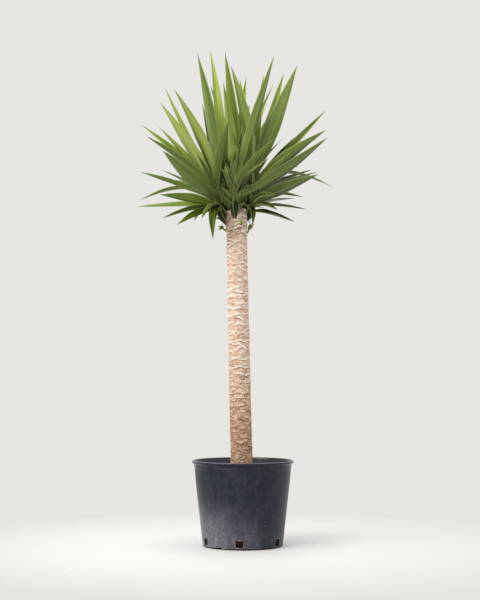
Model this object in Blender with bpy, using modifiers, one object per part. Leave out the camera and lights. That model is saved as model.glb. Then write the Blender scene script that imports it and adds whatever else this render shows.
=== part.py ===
# Potted yucca: a bare cane with four heads of sword leaves, standing in a black nursery pot.
# Metres, +Z up. The origin is the centre of the pot's foot, and the front of the plant faces -Y.

import math

import bmesh
import bpy
import numpy as np
from mathutils import Matrix, Vector
from mathutils.bvhtree import BVHTree

MM = 0.001
SEAT_GAP = 0.3 * MM             # left between pieces that touch

# Pot: one moulded shell
POT_HEIGHT = 211 * MM
LIP_RADIUS = 127 * MM
WALL_TOP_RADIUS = 120.2 * MM    # just below the step ring
WALL_MID_RADIUS = 117.5 * MM
WALL_MID_HEIGHT = 162 * MM
FOOT_RADIUS = 99.3 * MM
WALL = 2.0 * MM
POT_SEGMENTS = 42
FLOOR_PAD_RADIUS = 42 * MM      # flat middle of the floor, level with the foot ring
FLOOR_RECESS = 5.0 * MM
FOOT_RING_WIDTH = 5 * MM

# Drain slots low in the wall and notches under the foot, by their angle from the front
SLOT_ANGLES = [-64, -5, 57, 117, 176, 237]
SLOT_WIDTH = 20 * MM
SLOT_LOW = 5.0 * MM
SLOT_HIGH = 24 * MM
NOTCH_ANGLES = [-35.5, 84.5, 204.5]
NOTCH_WIDTH = 24 * MM
NOTCH_HEIGHT = 5.5 * MM

# Potting mix
SOIL_TOP = 183 * MM
SOIL_MOUND = 4 * MM             # rise towards the cane
SOIL_LUMP = 1.6 * MM

# Cane
CANE_BOTTOM = 60 * MM
CANE_TOP = 841 * MM
CANE_FOOT_X = -2.5 * MM         # axis where it leaves the mix
CANE_TOP_X = -17 * MM
CANE_FOOT_RADIUS = 27.2 * MM
CANE_TOP_RADIUS = 25.6 * MM
CANE_FLARE = 1.7 * MM           # swelling under the cut, where the shoots come out
CUT_DROP = 7 * MM               # how much lower the cut lies on the left
CANE_SIDES = 18
SCAR_CREST = 0.9 * MM
SCAR_GROOVE = 1.0 * MM
SCAR_STEP = 2.6 * MM            # height of the drop under a crest
SCAR_PITCH_LOW = 12.5 * MM      # between leaf scars near the mix
SCAR_PITCH_HIGH = 18.5 * MM     # and in the upper part
SCAR_SWING = 0.28               # how far a scar rises and falls round the cane, in pitches
SCAR_SEED = 11

# Leaves
BEND_AT = 0.30                  # where along its chord a leaf bows most
WIDEST_AT = 0.52
BASE_WIDTH = 0.56               # share of the full width at the base
LEAF_STATIONS = [0.0, 0.14, 0.32, 0.51, 0.70, 0.87]
LEAF_MID_THICK = 1.9 * MM
LEAF_EDGE_THICK = 1.0 * MM
LEAF_CLEAR = 1.3 * MM           # kept round each blade when it is placed
FREE_FROM = 0.24                # beyond this share of its length a blade touches no other
END_ON = 0.975                  # a leaf that points this straight at the front keeps its own roll
FRONT = np.array([0.0, -1.0, 0.0])

# Each head: its stem from the cane outwards and up, the stretch that carries leaves, how steep a leaf
# is that leaves at its low and its high end, and its leaves as (tip x, y, z, width, bow, share of the
# face seen from the front), millimetres. A negative share shows the underside. The hidden leaves
# follow by rule: how many, their heading in degrees from +X, and how far they fan out.
HEADS = {
    "head_left": {
        "stem": [(-33, 0, 801), (-47, -1, 819), (-57, -2, 850), (-66, -2, 892)],
        "radii": [10, 15, 18, 12],
        "low": (-56, -2, 832),
        "high": (-66, -2, 886),
        "steep": (-35, 80),
        "leaves": [
            (-83, 0, 1247, 31, 15, 0.84),
            (-112, -75, 1210, 38, 19, -0.88),
            (-170, -80, 1128, 33, 17, -0.82),
            (-204, -90, 1093, 34, 4, -0.80),
            (-200, 30, 1157, 28, -6, 0.57),
            (-214, -8, 1053, 29, 2, 0.62),
            (-35, -180, 1030, 34, 18, -0.85),
            (-236, -90, 1007, 30, 14, -0.60),
            (-258, 40, 1068, 30, 8, 0.55),
            (-193, -150, 963, 36, -5, -0.95),
            (-268, 110, 950, 29, 2, 0.62),
            (-256, -60, 853, 26, 37, 0.45),
            (-198, -190, 851, 34, 0, 0.83),
            (-277, 120, 860, 28, 0, 0.55),
            (-195, -140, 800, 26, 8, 0.50),
            (-210, 60, 1080, 24, 2, 0.60),
            (-250, 80, 1049, 25, 8, 0.32),
            (-131, 160, 1031, 28, 12, 0.60),
            (-105, 60, 1121, 27, 6, 0.70),
            (-161, -120, 788, 27, 8, 0.75),
            (-99, -170, 795, 25, 16, 0.50),
            (-73, -80, 756, 26, 34, 0.85),
            (-30, 50, 1010, 30, 6, 0.80),
            (-36, 14, 936, 26, 3, 0.80),
        ],
        "hidden": (7, 122, 42),
    },
    "head_right": {
        "stem": [(-4, 4, 806), (10, 6, 822), (20, 8, 850), (25, 9, 888), (27, 9, 924)],
        "radii": [10, 13, 15, 13, 9],
        "low": (17, 7, 834),
        "high": (27, 9, 922),
        "steep": (0, 55),
        "leaves": [
            (-30, -20, 1200, 34, 10, -0.85),
            (137, -20, 1201, 40, -1, -0.93),
            (106, 30, 1200, 31, -4, 0.80),
            (54, 50, 1193, 28, 0, 0.70),
            (-8, 40, 1190, 28, 0, 0.72),
            (211, 40, 1097, 32, -8, 0.66),
            (207, -50, 1031, 35, 6, -0.76),
            (23, -200, 1004, 30, 14, -0.80),
            (184, -110, 911, 34, 3, -0.80),
            (181, 120, 957, 27, 5, 0.50),
            (194, 150, 962, 25, 5, 0.30),
            (232, 60, 902, 22, 66, 0.35),
            (76, -200, 848, 28, 16, 0.60),
            (139, 170, 888, 25, 8, 0.28),
            (110, 150, 895, 25, 4, 0.40),
            (84, -150, 820, 26, 13, 0.42),
            (133, 50, 812, 25, 5, 0.45),
            (49, -30, 828, 14, 0, 0.60),
            (24, -60, 791, 22, 20, 0.80),
            (-8, 40, 1010, 29, 6, 0.80),
            (-6, 12, 930, 30, 3, 0.85),
        ],
        "hidden": (7, 58, 42),
    },
    "head_front": {
        "stem": [(-20, -20, 815), (-21, -34, 829), (-23, -44, 850), (-24, -48, 898)],
        "radii": [7, 9, 14, 12],
        "low": (-22, -42, 838),
        "high": (-23, -48, 880),
        "steep": (-20, 75),
        "leaves": [
            (77, -110, 1206, 29, 0, -0.84),
            (-48, -120, 1136, 32, 12, -0.86),
            (208, -110, 1003, 34, -13, -0.76),
            (76, -60, 1146, 22, 7, -0.42),
            (-26, -230, 871, 27, 20, 0.72),
        ],
        "hidden": (1, -80, 20),
    },
    "head_back": {
        "stem": [(-16, 14, 808), (-16, 34, 824), (-15, 46, 850), (-14, 50, 900)],
        "radii": [11, 15, 17, 12],
        "low": (-15, 44, 838),
        "high": (-14, 50, 896),
        "steep": (-20, 70),
        "leaves": [
            (-45, 20, 1234, 32, 15, 0.85),
            (10, 70, 1203, 28, 8, 0.72),
            (64, 80, 1127, 27, 8, 0.60),
            (-62, 60, 1062, 34, 5, 0.85),
            (24, 60, 1050, 34, 5, 0.85),
            (-95, 120, 990, 34, 2, 0.85),
            (-108, 105, 915, 32, 4, 0.80),
            (66, 110, 985, 32, 2, 0.85),
        ],
        "hidden": (10, 90, 50),
    },
}

# How far the leaves reach in the front view from the middle of the crown, by the angle from
# straight up: hidden leaves stay inside it, so the gaps between the seen ones stay open.
CROWN_MIDDLE = (-20, 870)
REACH_ANGLES = [-180, -150, -120, -92, -72, -50, -39, -31, -25, -16, 0, 16, 26, 32, 40, 46, 60, 80, 112, 180]
REACH = [60, 100, 130, 215, 235, 280, 265, 285, 175, 330, 350, 330, 335, 190, 135, 295, 240, 200, 120, 60]
HIDDEN_SEED = 5
GOLDEN_ANGLE = 137.5
HIDDEN_LONGEST = 345
HIDDEN_SHORTEST = 205

# Small growth on the cane under the heads: stub from the cane outwards, leaf tips, blade width
SIDE_SHOOTS = {
    "shoot_left": {
        "stub": [(-38, -3, 783), (-45, -4, 786), (-49, -5, 788)],
        "radii": [3.4, 3.2, 2.2],
        "tips": [(-62, -6, 789), (-60, -4, 797), (-57, -12, 794), (-61, -11, 784), (-54, 3, 797)],
        "width": 4.2,
    },
    "shoot_right": {
        "stub": [(3, -3, 776), (11, -4, 780), (15, -5, 784)],
        "radii": [3.6, 3.6, 2.6],
        "tips": [(30, -6, 802), (25, -12, 796), (22, 1, 800), (27, -2, 792), (19, -14, 790)],
        "width": 5.0,
    },
}
BUD_PLACE = (-5, 803)           # x and z of the bud on the front of the cane
BUD_SIZE = (3.6, 3.4, 6.6)      # half width, depth and height


def clear_scene():
    for thing in list(bpy.data.objects):
        bpy.data.objects.remove(thing)


def new_collection(name):
    collection = bpy.data.collections.new(name)
    bpy.context.scene.collection.children.link(collection)
    return collection


def material(name, colour, roughness):
    made = bpy.data.materials.new(name)
    made.use_nodes = True
    shader = made.node_tree.nodes["Principled BSDF"]
    shader.inputs["Base Color"].default_value = (*colour, 1.0)
    shader.inputs["Roughness"].default_value = roughness
    shader.inputs["Metallic"].default_value = 0.0
    return made


def mesh_object(name, points, faces, collection, finish=None):
    """One object from points and faces, with its faces turned outwards."""
    mesh = bpy.data.meshes.new(name)
    mesh.from_pydata([tuple(p) for p in points], [], [tuple(f) for f in faces])
    shell = bmesh.new()
    shell.from_mesh(mesh)
    bmesh.ops.recalc_face_normals(shell, faces=shell.faces)
    shell.to_mesh(mesh)
    shell.free()
    thing = bpy.data.objects.new(name, mesh)
    if finish:
        mesh.materials.append(finish)
    collection.objects.link(thing)
    return thing


def ring_faces(rows, sides, first=0):
    """Triangles between rows of points round an axis, all split the same way."""
    faces = []
    for row in range(rows - 1):
        for side in range(sides):
            a = first + row * sides + side
            b = first + row * sides + (side + 1) % sides
            faces.append((a, b, b + sides))
            faces.append((a, b + sides, a + sides))
    return faces


def turned(name, profile, segments, collection, finish):
    """A profile in the XZ plane turned about Z. It runs down its outer side."""
    mesh = bpy.data.meshes.new(name)
    edges = [(i, i + 1) for i in range(len(profile) - 1)]
    mesh.from_pydata([(r, 0.0, z) for r, z in profile], edges, [])
    thing = bpy.data.objects.new(name, mesh)
    mesh.materials.append(finish)
    collection.objects.link(thing)
    screw = thing.modifiers.new("Turn", "SCREW")
    screw.steps = segments
    screw.render_steps = segments
    screw.use_merge_vertices = True
    screw.merge_threshold = 0.00005
    return thing


def evaluated_mesh(thing):
    graph = bpy.context.evaluated_depsgraph_get()
    return bpy.data.meshes.new_from_object(thing.evaluated_get(graph))


def hide_cutter(thing):
    thing.hide_render = True
    thing.display_type = "WIRE"


def wall_radius(height):
    """Outer radius of the pot's wall, which flares a little less above its middle."""
    heights = [0.0, WALL_MID_HEIGHT, POT_HEIGHT]
    top = WALL_MID_RADIUS + (WALL_TOP_RADIUS - WALL_MID_RADIUS) * (POT_HEIGHT - WALL_MID_HEIGHT) / (31 * MM)
    return float(np.interp(height, heights, [FOOT_RADIUS, WALL_MID_RADIUS, top]))


def pot_inner_profile():
    """Inside of the shell from the middle of the floor up to just under the lip."""
    floor = WALL + 0.5 * MM
    raised = floor + FLOOR_RECESS
    corner = wall_radius(raised + 3 * MM) - WALL
    return [
        (0.0, floor),
        (FLOOR_PAD_RADIUS - 2 * MM, floor),
        (FLOOR_PAD_RADIUS + 1.2 * MM, raised),
        (corner - 5 * MM, raised),
        (corner, raised + 3 * MM),
        (wall_radius(WALL_MID_HEIGHT) - WALL, WALL_MID_HEIGHT),
        (wall_radius(188 * MM) - WALL, 188 * MM),
    ]


def pot_profile():
    inner = pot_inner_profile()
    lip = [
        (LIP_RADIUS - 6.8 * MM, POT_HEIGHT - 9.0 * MM),
        (LIP_RADIUS - 5.2 * MM, POT_HEIGHT - 2.2 * MM),
        (LIP_RADIUS - 3.2 * MM, POT_HEIGHT),
        (LIP_RADIUS - 1.0 * MM, POT_HEIGHT - 0.9 * MM),
        (LIP_RADIUS, POT_HEIGHT - 3.4 * MM),
        (LIP_RADIUS - 1.0 * MM, POT_HEIGHT - 6.2 * MM),
        (LIP_RADIUS - 4.4 * MM, POT_HEIGHT - 8.2 * MM),
        (LIP_RADIUS - 5.3 * MM, POT_HEIGHT - 9.8 * MM),
        (LIP_RADIUS - 5.5 * MM, POT_HEIGHT - 14.4 * MM),
        (LIP_RADIUS - 4.7 * MM, POT_HEIGHT - 15.6 * MM),
        (LIP_RADIUS - 5.0 * MM, POT_HEIGHT - 17.2 * MM),
        (WALL_TOP_RADIUS, POT_HEIGHT - 19.0 * MM),
    ]
    wall = [
        (WALL_MID_RADIUS, WALL_MID_HEIGHT),
        (wall_radius(28 * MM), 28 * MM),
        (FOOT_RADIUS, 1.6 * MM),
        (FOOT_RADIUS - 1.8 * MM, 0.0),
        (FOOT_RADIUS - FOOT_RING_WIDTH, 0.0),
        (FOOT_RADIUS - FOOT_RING_WIDTH - 1.5 * MM, FLOOR_RECESS),
        (FLOOR_PAD_RADIUS + 3 * MM, FLOOR_RECESS),
        (FLOOR_PAD_RADIUS, 0.0),
        (0.0, 0.0),
    ]
    return inner + lip + wall


def wall_cutter(name, angle, width, low, high, corner, cutters):
    """A block through the wall at an angle from the front, with rounded corners."""
    bpy.ops.mesh.primitive_cube_add(size=1.0)
    block = bpy.context.active_object
    block.name = name
    depth = 26 * MM
    block.data.transform(Matrix.Diagonal((width, depth, high - low, 1.0)))
    edges = bmesh.new()
    edges.from_mesh(block.data)
    through = [e for e in edges.edges if abs((e.verts[0].co - e.verts[1].co).y) > depth / 2]
    bmesh.ops.bevel(edges, geom=through, offset=corner, segments=2, affect="EDGES", profile=0.5)
    edges.to_mesh(block.data)
    edges.free()
    turn = math.radians(angle)
    reach = FOOT_RADIUS + 5 * MM
    block.location = (reach * math.sin(turn), -reach * math.cos(turn), (low + high) / 2)
    block.rotation_euler = (0.0, 0.0, turn)
    for owner in list(block.users_collection):
        owner.objects.unlink(block)
    cutters.objects.link(block)
    hide_cutter(block)
    return block


def build_pot(parts, cutters, finish):
    pot = turned("pot", pot_profile(), POT_SEGMENTS, parts, finish)
    blocks = []
    for index, angle in enumerate(SLOT_ANGLES):
        name = f"slot_cutter_{index + 1}"
        blocks.append(wall_cutter(name, angle, SLOT_WIDTH, SLOT_LOW, SLOT_HIGH, 3.5 * MM, cutters))
    for index, angle in enumerate(NOTCH_ANGLES):
        name = f"notch_cutter_{index + 1}"
        blocks.append(wall_cutter(name, angle, NOTCH_WIDTH, -4 * MM, NOTCH_HEIGHT, 1.2 * MM, cutters))
    for block in blocks:
        cut = pot.modifiers.new("Cut " + block.name, "BOOLEAN")
        cut.operation = "DIFFERENCE"
        cut.object = block
        cut.solver = "EXACT"
    return pot


def cane_centre(height):
    """Axis of the cane: upright in the mix, then leaning slowly to the left."""
    share = np.clip((np.asarray(height) - SOIL_TOP) / (CANE_TOP - SOIL_TOP), 0.0, 1.0)
    return CANE_FOOT_X + (CANE_TOP_X - CANE_FOOT_X) * share


def cane_radius(height):
    share = np.clip((np.asarray(height) - SOIL_TOP) / (CANE_TOP - SOIL_TOP), 0.0, 1.0)
    flare = CANE_FLARE * np.exp(-(((np.asarray(height) - 815 * MM) / (26 * MM)) ** 2))
    return CANE_FOOT_RADIUS + (CANE_TOP_RADIUS - CANE_FOOT_RADIUS) * share + flare


def scar_pitch(height):
    share = np.clip((height - SOIL_TOP) / (0.42 * (CANE_TOP - SOIL_TOP)), 0.0, 1.0)
    return SCAR_PITCH_LOW + (SCAR_PITCH_HIGH - SCAR_PITCH_LOW) * share


def scar_rings():
    """Heights of the leaf scars up the cane, closer together near the mix."""
    draw = np.random.default_rng(SCAR_SEED)
    heights = []
    height = SOIL_TOP + 6 * MM
    while height < CANE_TOP - 16 * MM:
        heights.append(height)
        height += scar_pitch(height) * draw.uniform(0.88, 1.12)
    return heights


def cane_points(grow):
    """Rows of points: each leaf scar is a tilted crest with a groove just under it. A leaf's foot
    stood highest on its own side, and the next leaf stood a golden angle further round."""
    draw = np.random.default_rng(SCAR_SEED + 1)
    around = np.arange(CANE_SIDES) * 2 * math.pi / CANE_SIDES
    rows = []
    for height in (CANE_BOTTOM, SOIL_TOP - 20 * MM, SOIL_TOP - 3 * MM):
        rows.append((np.full(CANE_SIDES, height), np.zeros(CANE_SIDES)))
    for index, height in enumerate(scar_rings()):
        phases = draw.uniform(0, 2 * math.pi, 3)
        turn = math.radians(GOLDEN_ANGLE) * index
        swing = SCAR_SWING * scar_pitch(height) * min(1.0, (CANE_TOP - height) / (34 * MM))
        wave = swing * (np.cos(around - turn) + 0.16 * np.sin(2 * around + phases[0]))
        wave += swing * 0.10 * np.sin(3 * around + phases[1])
        strength = 0.68 + 0.32 * np.sin(2 * around + phases[2])
        rows.append((height + wave - SCAR_STEP, -SCAR_GROOVE * strength))
        rows.append((height + wave, SCAR_CREST * strength))
    cut = CANE_TOP - CUT_DROP * (1 - np.cos(around)) / 2
    rows.append((cut - 2 * MM, np.zeros(CANE_SIDES)))
    rows.append((cut, np.full(CANE_SIDES, -2.2 * MM)))
    points = []
    for index, (heights, relief) in enumerate(rows):
        radius = cane_radius(heights) + relief + grow
        x = cane_centre(heights) + radius * np.cos(around)
        y = radius * np.sin(around)
        shift = 0.0
        if index == 0:
            shift = -grow
        if index == len(rows) - 1:
            shift = grow
        points.append(np.column_stack([x, y, heights + shift]))
    return points


def cane_object(name, grow, collection, finish=None):
    rows = cane_points(grow)
    points = np.vstack(rows)
    faces = ring_faces(len(rows), CANE_SIDES)
    bottom = len(points)
    top = bottom + 1
    points = np.vstack([points, rows[0].mean(axis=0), rows[-1].mean(axis=0)])
    last = (len(rows) - 1) * CANE_SIDES
    for side in range(CANE_SIDES):
        after = (side + 1) % CANE_SIDES
        faces.append((bottom, after, side))
        faces.append((top, last + side, last + after))
    return mesh_object(name, points, faces, collection, finish)


def build_soil(parts, cutters, finish):
    """Mix filling the pot: it follows the inside of the shell, and the cane stands in a hole."""
    inner = pot_inner_profile()
    profile = [(0.0, inner[0][1] + SEAT_GAP), (inner[1][0] - SEAT_GAP, inner[1][1] + SEAT_GAP)]
    for radius, height in inner[2:6]:
        profile.append((radius - 2 * SEAT_GAP, height + SEAT_GAP))
    profile.append((wall_radius(SOIL_TOP) - WALL - SEAT_GAP * 1.4, SOIL_TOP))
    rim = profile[-1][0]
    top_rings = [(rim * 0.90, 0.2), (rim * 0.70, 0.35), (rim * 0.50, 0.6), (rim * 0.33, 1.0), (0.0, 1.0)]
    for radius, share in top_rings:
        profile.append((radius, SOIL_TOP + SOIL_MOUND * share))
    profile.reverse()
    soil = turned("soil", profile, 32, parts, finish)
    soil_mesh = evaluated_mesh(soil)
    soil.modifiers.clear()
    soil.data = soil_mesh
    for point in soil_mesh.vertices:
        reach = math.hypot(point.co.x, point.co.y)
        if point.co.z > SOIL_TOP - 1 * MM and 1 * MM < reach < rim * 0.95:
            turn = math.atan2(point.co.y, point.co.x)
            point.co.z += SOIL_LUMP * math.sin(5 * turn + 60 * reach) * math.sin(3 * turn - 90 * reach)
    hole = cane_object("cane_hole_cutter", SEAT_GAP, cutters)
    hide_cutter(hole)
    cut = soil.modifiers.new("Cane hole", "BOOLEAN")
    cut.operation = "DIFFERENCE"
    cut.object = hole
    cut.solver = "EXACT"
    return soil


def stem_object(name, places, radii, collection, sides=10):
    """A short stem through a few places, closed at both ends, its top drawn in."""
    places = [np.array(p, dtype=float) * MM for p in places]
    ends = places + [places[-1] + (places[-1] - places[-2]) * 0.25]
    sizes = [r * MM for r in radii] + [radii[-1] * 0.45 * MM]
    around = np.arange(sides) * 2 * math.pi / sides
    rows = []
    for index, (place, size) in enumerate(zip(ends, sizes)):
        ahead = ends[min(index + 1, len(ends) - 1)] - ends[max(index - 1, 0)]
        ahead /= np.linalg.norm(ahead)
        side = np.cross(ahead, FRONT)
        side /= np.linalg.norm(side)
        other = np.cross(ahead, side)
        rows.append(place + size * (np.outer(np.cos(around), side) + np.outer(np.sin(around), other)))
    points = np.vstack(rows + [ends[0][None, :], ends[-1][None, :]])
    faces = ring_faces(len(rows), sides)
    last = (len(rows) - 1) * sides
    for index in range(sides):
        after = (index + 1) % sides
        faces.append((len(points) - 2, after, index))
        faces.append((len(points) - 1, last + index, last + after))
    return mesh_object(name, points, faces, collection)


def leaf_width(at):
    """Share of the full width: a drawn-in base, widest near the middle, a long sharp point."""
    at = np.asarray(at, dtype=float)
    swell = np.clip(at / WIDEST_AT, 0.0, 1.0)
    swell = BASE_WIDTH + (1 - BASE_WIDTH) * swell * swell * (3 - 2 * swell)
    beyond = np.clip((at - WIDEST_AT) / (1 - WIDEST_AT), 0.0, 1.0)
    return swell * (1 - beyond ** 1.8)


def leaf_frames(leaf, stations):
    """Places along a leaf with its side and face directions: one bowed curve from base to tip. Past
    its base the blade is rolled to show the front the stated share of its face."""
    at = np.asarray(stations, dtype=float)[:, None]
    chord = leaf["tip"] - leaf["base"]
    along = chord / np.linalg.norm(chord)
    rise = np.array([0.0, 0.0, 1.0]) - along * along[2]
    rise /= np.linalg.norm(rise)
    knee = leaf["base"] + chord * BEND_AT + rise * leaf["bow"] * 2
    place = (1 - at) ** 2 * leaf["base"] + 2 * at * (1 - at) * knee + at ** 2 * leaf["tip"]
    ahead = (1 - at) * (knee - leaf["base"]) + at * (leaf["tip"] - knee)
    ahead /= np.linalg.norm(ahead, axis=1)[:, None]
    face = rise - ahead * (ahead @ rise)[:, None]
    face /= np.linalg.norm(face, axis=1)[:, None]
    if abs(along @ FRONT) > END_ON:
        return place, np.cross(ahead, face), face
    front = FRONT - ahead * (ahead @ FRONT)[:, None]
    front /= np.maximum(np.linalg.norm(front, axis=1)[:, None], 0.25)
    across = np.cross(ahead, front)
    sense = 1.0 if np.sum(face * across) >= 0 else -1.0
    shown = leaf["shown"]
    rolled = shown * front + sense * math.sqrt(1 - shown * shown) * across
    ease = np.clip(at / 0.35, 0.0, 1.0)
    ease = ease * ease * (3 - 2 * ease)
    face = (1 - ease) * face + ease * rolled
    face -= ahead * np.sum(ahead * face, axis=1)[:, None]
    face /= np.linalg.norm(face, axis=1)[:, None]
    return place, np.cross(ahead, face), face


def leaf_shell(leaf, stations, spare=0.0):
    """Points and triangles of one folded blade, each half split alike on both its faces."""
    at = np.asarray(stations, dtype=float)
    place, side, face = leaf_frames(leaf, at)
    half = (leaf["width"] / 2 * leaf_width(at) + spare)[:, None]
    fold = np.radians(np.interp(at, [0.0, 0.25, 0.6, 1.0], [38, 23, 17, 22]))[:, None]
    across = side * half * np.cos(fold)
    lift = face * half * np.sin(fold)
    scale = leaf["thick"]
    edge = face * (LEAF_EDGE_THICK * scale + 2 * spare)
    middle = face * (LEAF_MID_THICK * scale + 2 * spare)
    up = face * spare
    rows = [place + across + lift + up, place + up, place - across + lift + up]
    rows += [place - across + lift + up - edge, place + up - middle, place + across + lift + up - edge]
    points = np.stack(rows, axis=1).reshape(-1, 3)
    faces = []
    count = len(at)
    for row in range(count - 1):
        a = row * 6
        b = a + 6
        faces += [(a, a + 1, b + 1), (a, b + 1, b), (a + 5, b + 4, a + 4), (a + 5, b + 5, b + 4)]
        faces += [(a + 2, b + 2, b + 1), (a + 2, b + 1, a + 1), (a + 3, b + 4, b + 3), (a + 3, a + 4, b + 4)]
        faces += [(a, b, b + 5), (a, b + 5, a + 5), (a + 2, a + 3, b + 3), (a + 2, b + 3, b + 2)]
    end = (count - 1) * 6
    tip = len(points)
    faces += [(end + side_index, end + (side_index + 1) % 6, tip) for side_index in range(6)]
    faces += [(0, 5, 4), (0, 4, 1), (1, 4, 3), (1, 3, 2)]
    return np.vstack([points, leaf["tip"][None, :] - face[-1] * LEAF_EDGE_THICK * scale / 2]), faces


def leaf_from_row(head, row):
    """A leaf from its row: the steeper it stands, the higher it leaves the stem."""
    x, y, z, width, bow, shown = row
    tip = np.array([x, y, z], dtype=float) * MM
    low = np.array(head["low"], dtype=float) * MM
    high = np.array(head["high"], dtype=float) * MM
    chord = tip - (low + high) / 2
    chord /= np.linalg.norm(chord)
    steep = math.degrees(math.asin(chord[2]))
    share = min(max((steep - head["steep"][0]) / (head["steep"][1] - head["steep"][0]), 0.0), 1.0)
    base = low + (high - low) * share
    outward = (tip - base) * np.array([1.0, 1.0, 0.0])
    base = base + outward / max(np.linalg.norm(outward), 1e-6) * 4 * MM
    return {"base": base, "tip": tip, "width": width * MM, "bow": bow * MM, "shown": shown, "thick": 1.0}


def hidden_rows(head, draw):
    """Leaves that the front view hides: set round the stem by the golden angle, top to bottom."""
    rows = []
    count, heading_middle, spread = head["hidden"]
    middle = (np.array(head["low"], dtype=float) + np.array(head["high"], dtype=float)) / 2
    for index in range(count):
        share = (index + 0.5) / count
        steep = math.radians(76 - 90 * share + draw.uniform(-6, 6))
        turned_by = (index * GOLDEN_ANGLE + draw.uniform(-9, 9)) % 360
        heading = math.radians(heading_middle + (turned_by / 180 - 1) * spread)
        length = HIDDEN_LONGEST - 90 * share + draw.uniform(-15, 15)
        flat = length * math.cos(steep)
        step = np.array([flat * math.cos(heading), flat * math.sin(heading), length * math.sin(steep)])
        tip = middle + step
        for shrink in range(20):
            seen = math.hypot(tip[0] - CROWN_MIDDLE[0], tip[2] - CROWN_MIDDLE[1])
            angle = math.degrees(math.atan2(tip[0] - CROWN_MIDDLE[0], tip[2] - CROWN_MIDDLE[1]))
            if seen <= np.interp(angle, REACH_ANGLES, REACH):
                break
            step = step * 0.96
            tip = middle + step
        width = draw.uniform(27, 33)
        bow = 8 + 14 * share
        shown = math.sin(steep) * math.sin(heading) * 0.9
        if np.linalg.norm(step) >= HIDDEN_SHORTEST - 60 * share:
            rows.append((tip[0], tip[1], tip[2], width, bow, shown))
    return rows


def leaf_moves():
    """Small changes tried to bring a blade clear of the others, the least first. They go mostly in
    depth, which the front view hardly shows."""
    moves = []
    for depth in (0, -10, 10, -20, 20, -32, 32, -46, 46, -62, 62):
        for swing in (0, -1, 1, -2.2, 2.2, -3.6, 3.6):
            for roll in (0, -0.15, 0.15):
                cost = abs(depth) / 12 + abs(swing) / 0.6 + abs(roll) / 0.15
                moves.append((cost, depth * MM, math.radians(swing), roll))
    return sorted(moves)


def moved_leaf(leaf, depth, swing, roll):
    arm = leaf["tip"] - leaf["base"]
    swung = np.array([
        arm[0] * math.cos(swing) + arm[2] * math.sin(swing),
        arm[1] + depth,
        arm[2] * math.cos(swing) - arm[0] * math.sin(swing),
    ])
    shown = min(max(leaf["shown"] + roll, -0.97), 0.97)
    return dict(leaf, tip=leaf["base"] + swung, shown=shown)


def tree_of(shells):
    """One search tree over several shells."""
    points = []
    faces = []
    for shell_points, shell_faces in shells:
        first = len(points)
        points += [tuple(p) for p in shell_points]
        faces += [tuple(index + first for index in face) for face in shell_faces]
    return BVHTree.FromPolygons(points, faces)


def shell_of(thing):
    return [tuple(v.co) for v in thing.data.vertices], [tuple(p.vertices) for p in thing.data.polygons]


def place_leaves(stems, guard):
    """All leaves of all heads, each moved until it clears the rest; one that can't is left out."""
    draw = np.random.default_rng(HIDDEN_SEED)
    waiting = []
    for name, head in HEADS.items():
        waiting += [(name, row, True) for row in head["leaves"]]
    for name, head in HEADS.items():
        waiting += [(name, row, False) for row in hidden_rows(head, draw)]
    outer = [at for at in np.linspace(FREE_FROM, 0.93, 8)]
    placed = {name: [] for name in HEADS}
    outer_shells = {name: [] for name in HEADS}
    whole_shells = {name: [shell_of(stems[name])] for name in HEADS}
    outer_trees = {}
    whole_trees = {name: tree_of(whole_shells[name]) for name in HEADS}
    moves = leaf_moves()
    for name, row, seen in waiting:
        start = leaf_from_row(HEADS[name], row)
        for _, depth, swing, roll in moves:
            leaf = moved_leaf(start, depth, swing, roll)
            spare_whole = tree_of([leaf_shell(leaf, LEAF_STATIONS, LEAF_CLEAR)])
            spare_outer = tree_of([leaf_shell(leaf, outer, LEAF_CLEAR)])
            clear = not spare_outer.overlap(guard)
            if clear and name in outer_trees:
                clear = not spare_outer.overlap(outer_trees[name])
            for other in HEADS:
                if clear and other != name:
                    clear = not spare_whole.overlap(whole_trees[other])
            if clear:
                placed[name].append(leaf)
                outer_shells[name].append(leaf_shell(leaf, outer))
                whole_shells[name].append(leaf_shell(leaf, LEAF_STATIONS))
                outer_trees[name] = tree_of(outer_shells[name])
                whole_trees[name] = tree_of(whole_shells[name])
                break
        else:
            print("left out", name, row, "seen" if seen else "hidden")
    return placed


def fuse(base, pieces, solver="MANIFOLD"):
    """Joins everything in a collection to an object, then removes the collection's objects."""
    join = base.modifiers.new("Join", "BOOLEAN")
    join.operation = "UNION"
    join.operand_type = "COLLECTION"
    join.collection = pieces
    join.solver = solver
    joined = evaluated_mesh(base)
    base.modifiers.clear()
    base.data = joined
    for piece in list(pieces.objects):
        bpy.data.objects.remove(piece)
    bpy.data.collections.remove(pieces)


def cut_away(base, cutter):
    cut = base.modifiers.new("Seat", "BOOLEAN")
    cut.operation = "DIFFERENCE"
    cut.object = cutter
    cut.solver = "MANIFOLD"
    cut_mesh = evaluated_mesh(base)
    base.modifiers.clear()
    base.data = cut_mesh


def keep_largest_body(thing):
    """Drops the loose scraps that a cut leaves, and the needle faces that a join leaves."""
    body = bmesh.new()
    body.from_mesh(thing.data)
    bmesh.ops.remove_doubles(body, verts=body.verts, dist=0.01 * MM)
    bmesh.ops.triangulate(body, faces=body.faces)
    left = set(body.verts)
    groups = []
    while left:
        group = {left.pop()}
        edge = list(group)
        while edge:
            point = edge.pop()
            for link in point.link_edges:
                other = link.other_vert(point)
                if other in left:
                    left.remove(other)
                    group.add(other)
                    edge.append(other)
        groups.append(group)
    groups.sort(key=len, reverse=True)
    for scrap in groups[1:]:
        bmesh.ops.delete(body, geom=list(scrap), context="VERTS")
    body.to_mesh(thing.data)
    body.free()


def finish_mesh(thing, finish, angle=40):
    thing.data.materials.clear()
    thing.data.materials.append(finish)
    thing.data.shade_smooth()
    thing.data.set_sharp_from_angle(angle=math.radians(angle))


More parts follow.
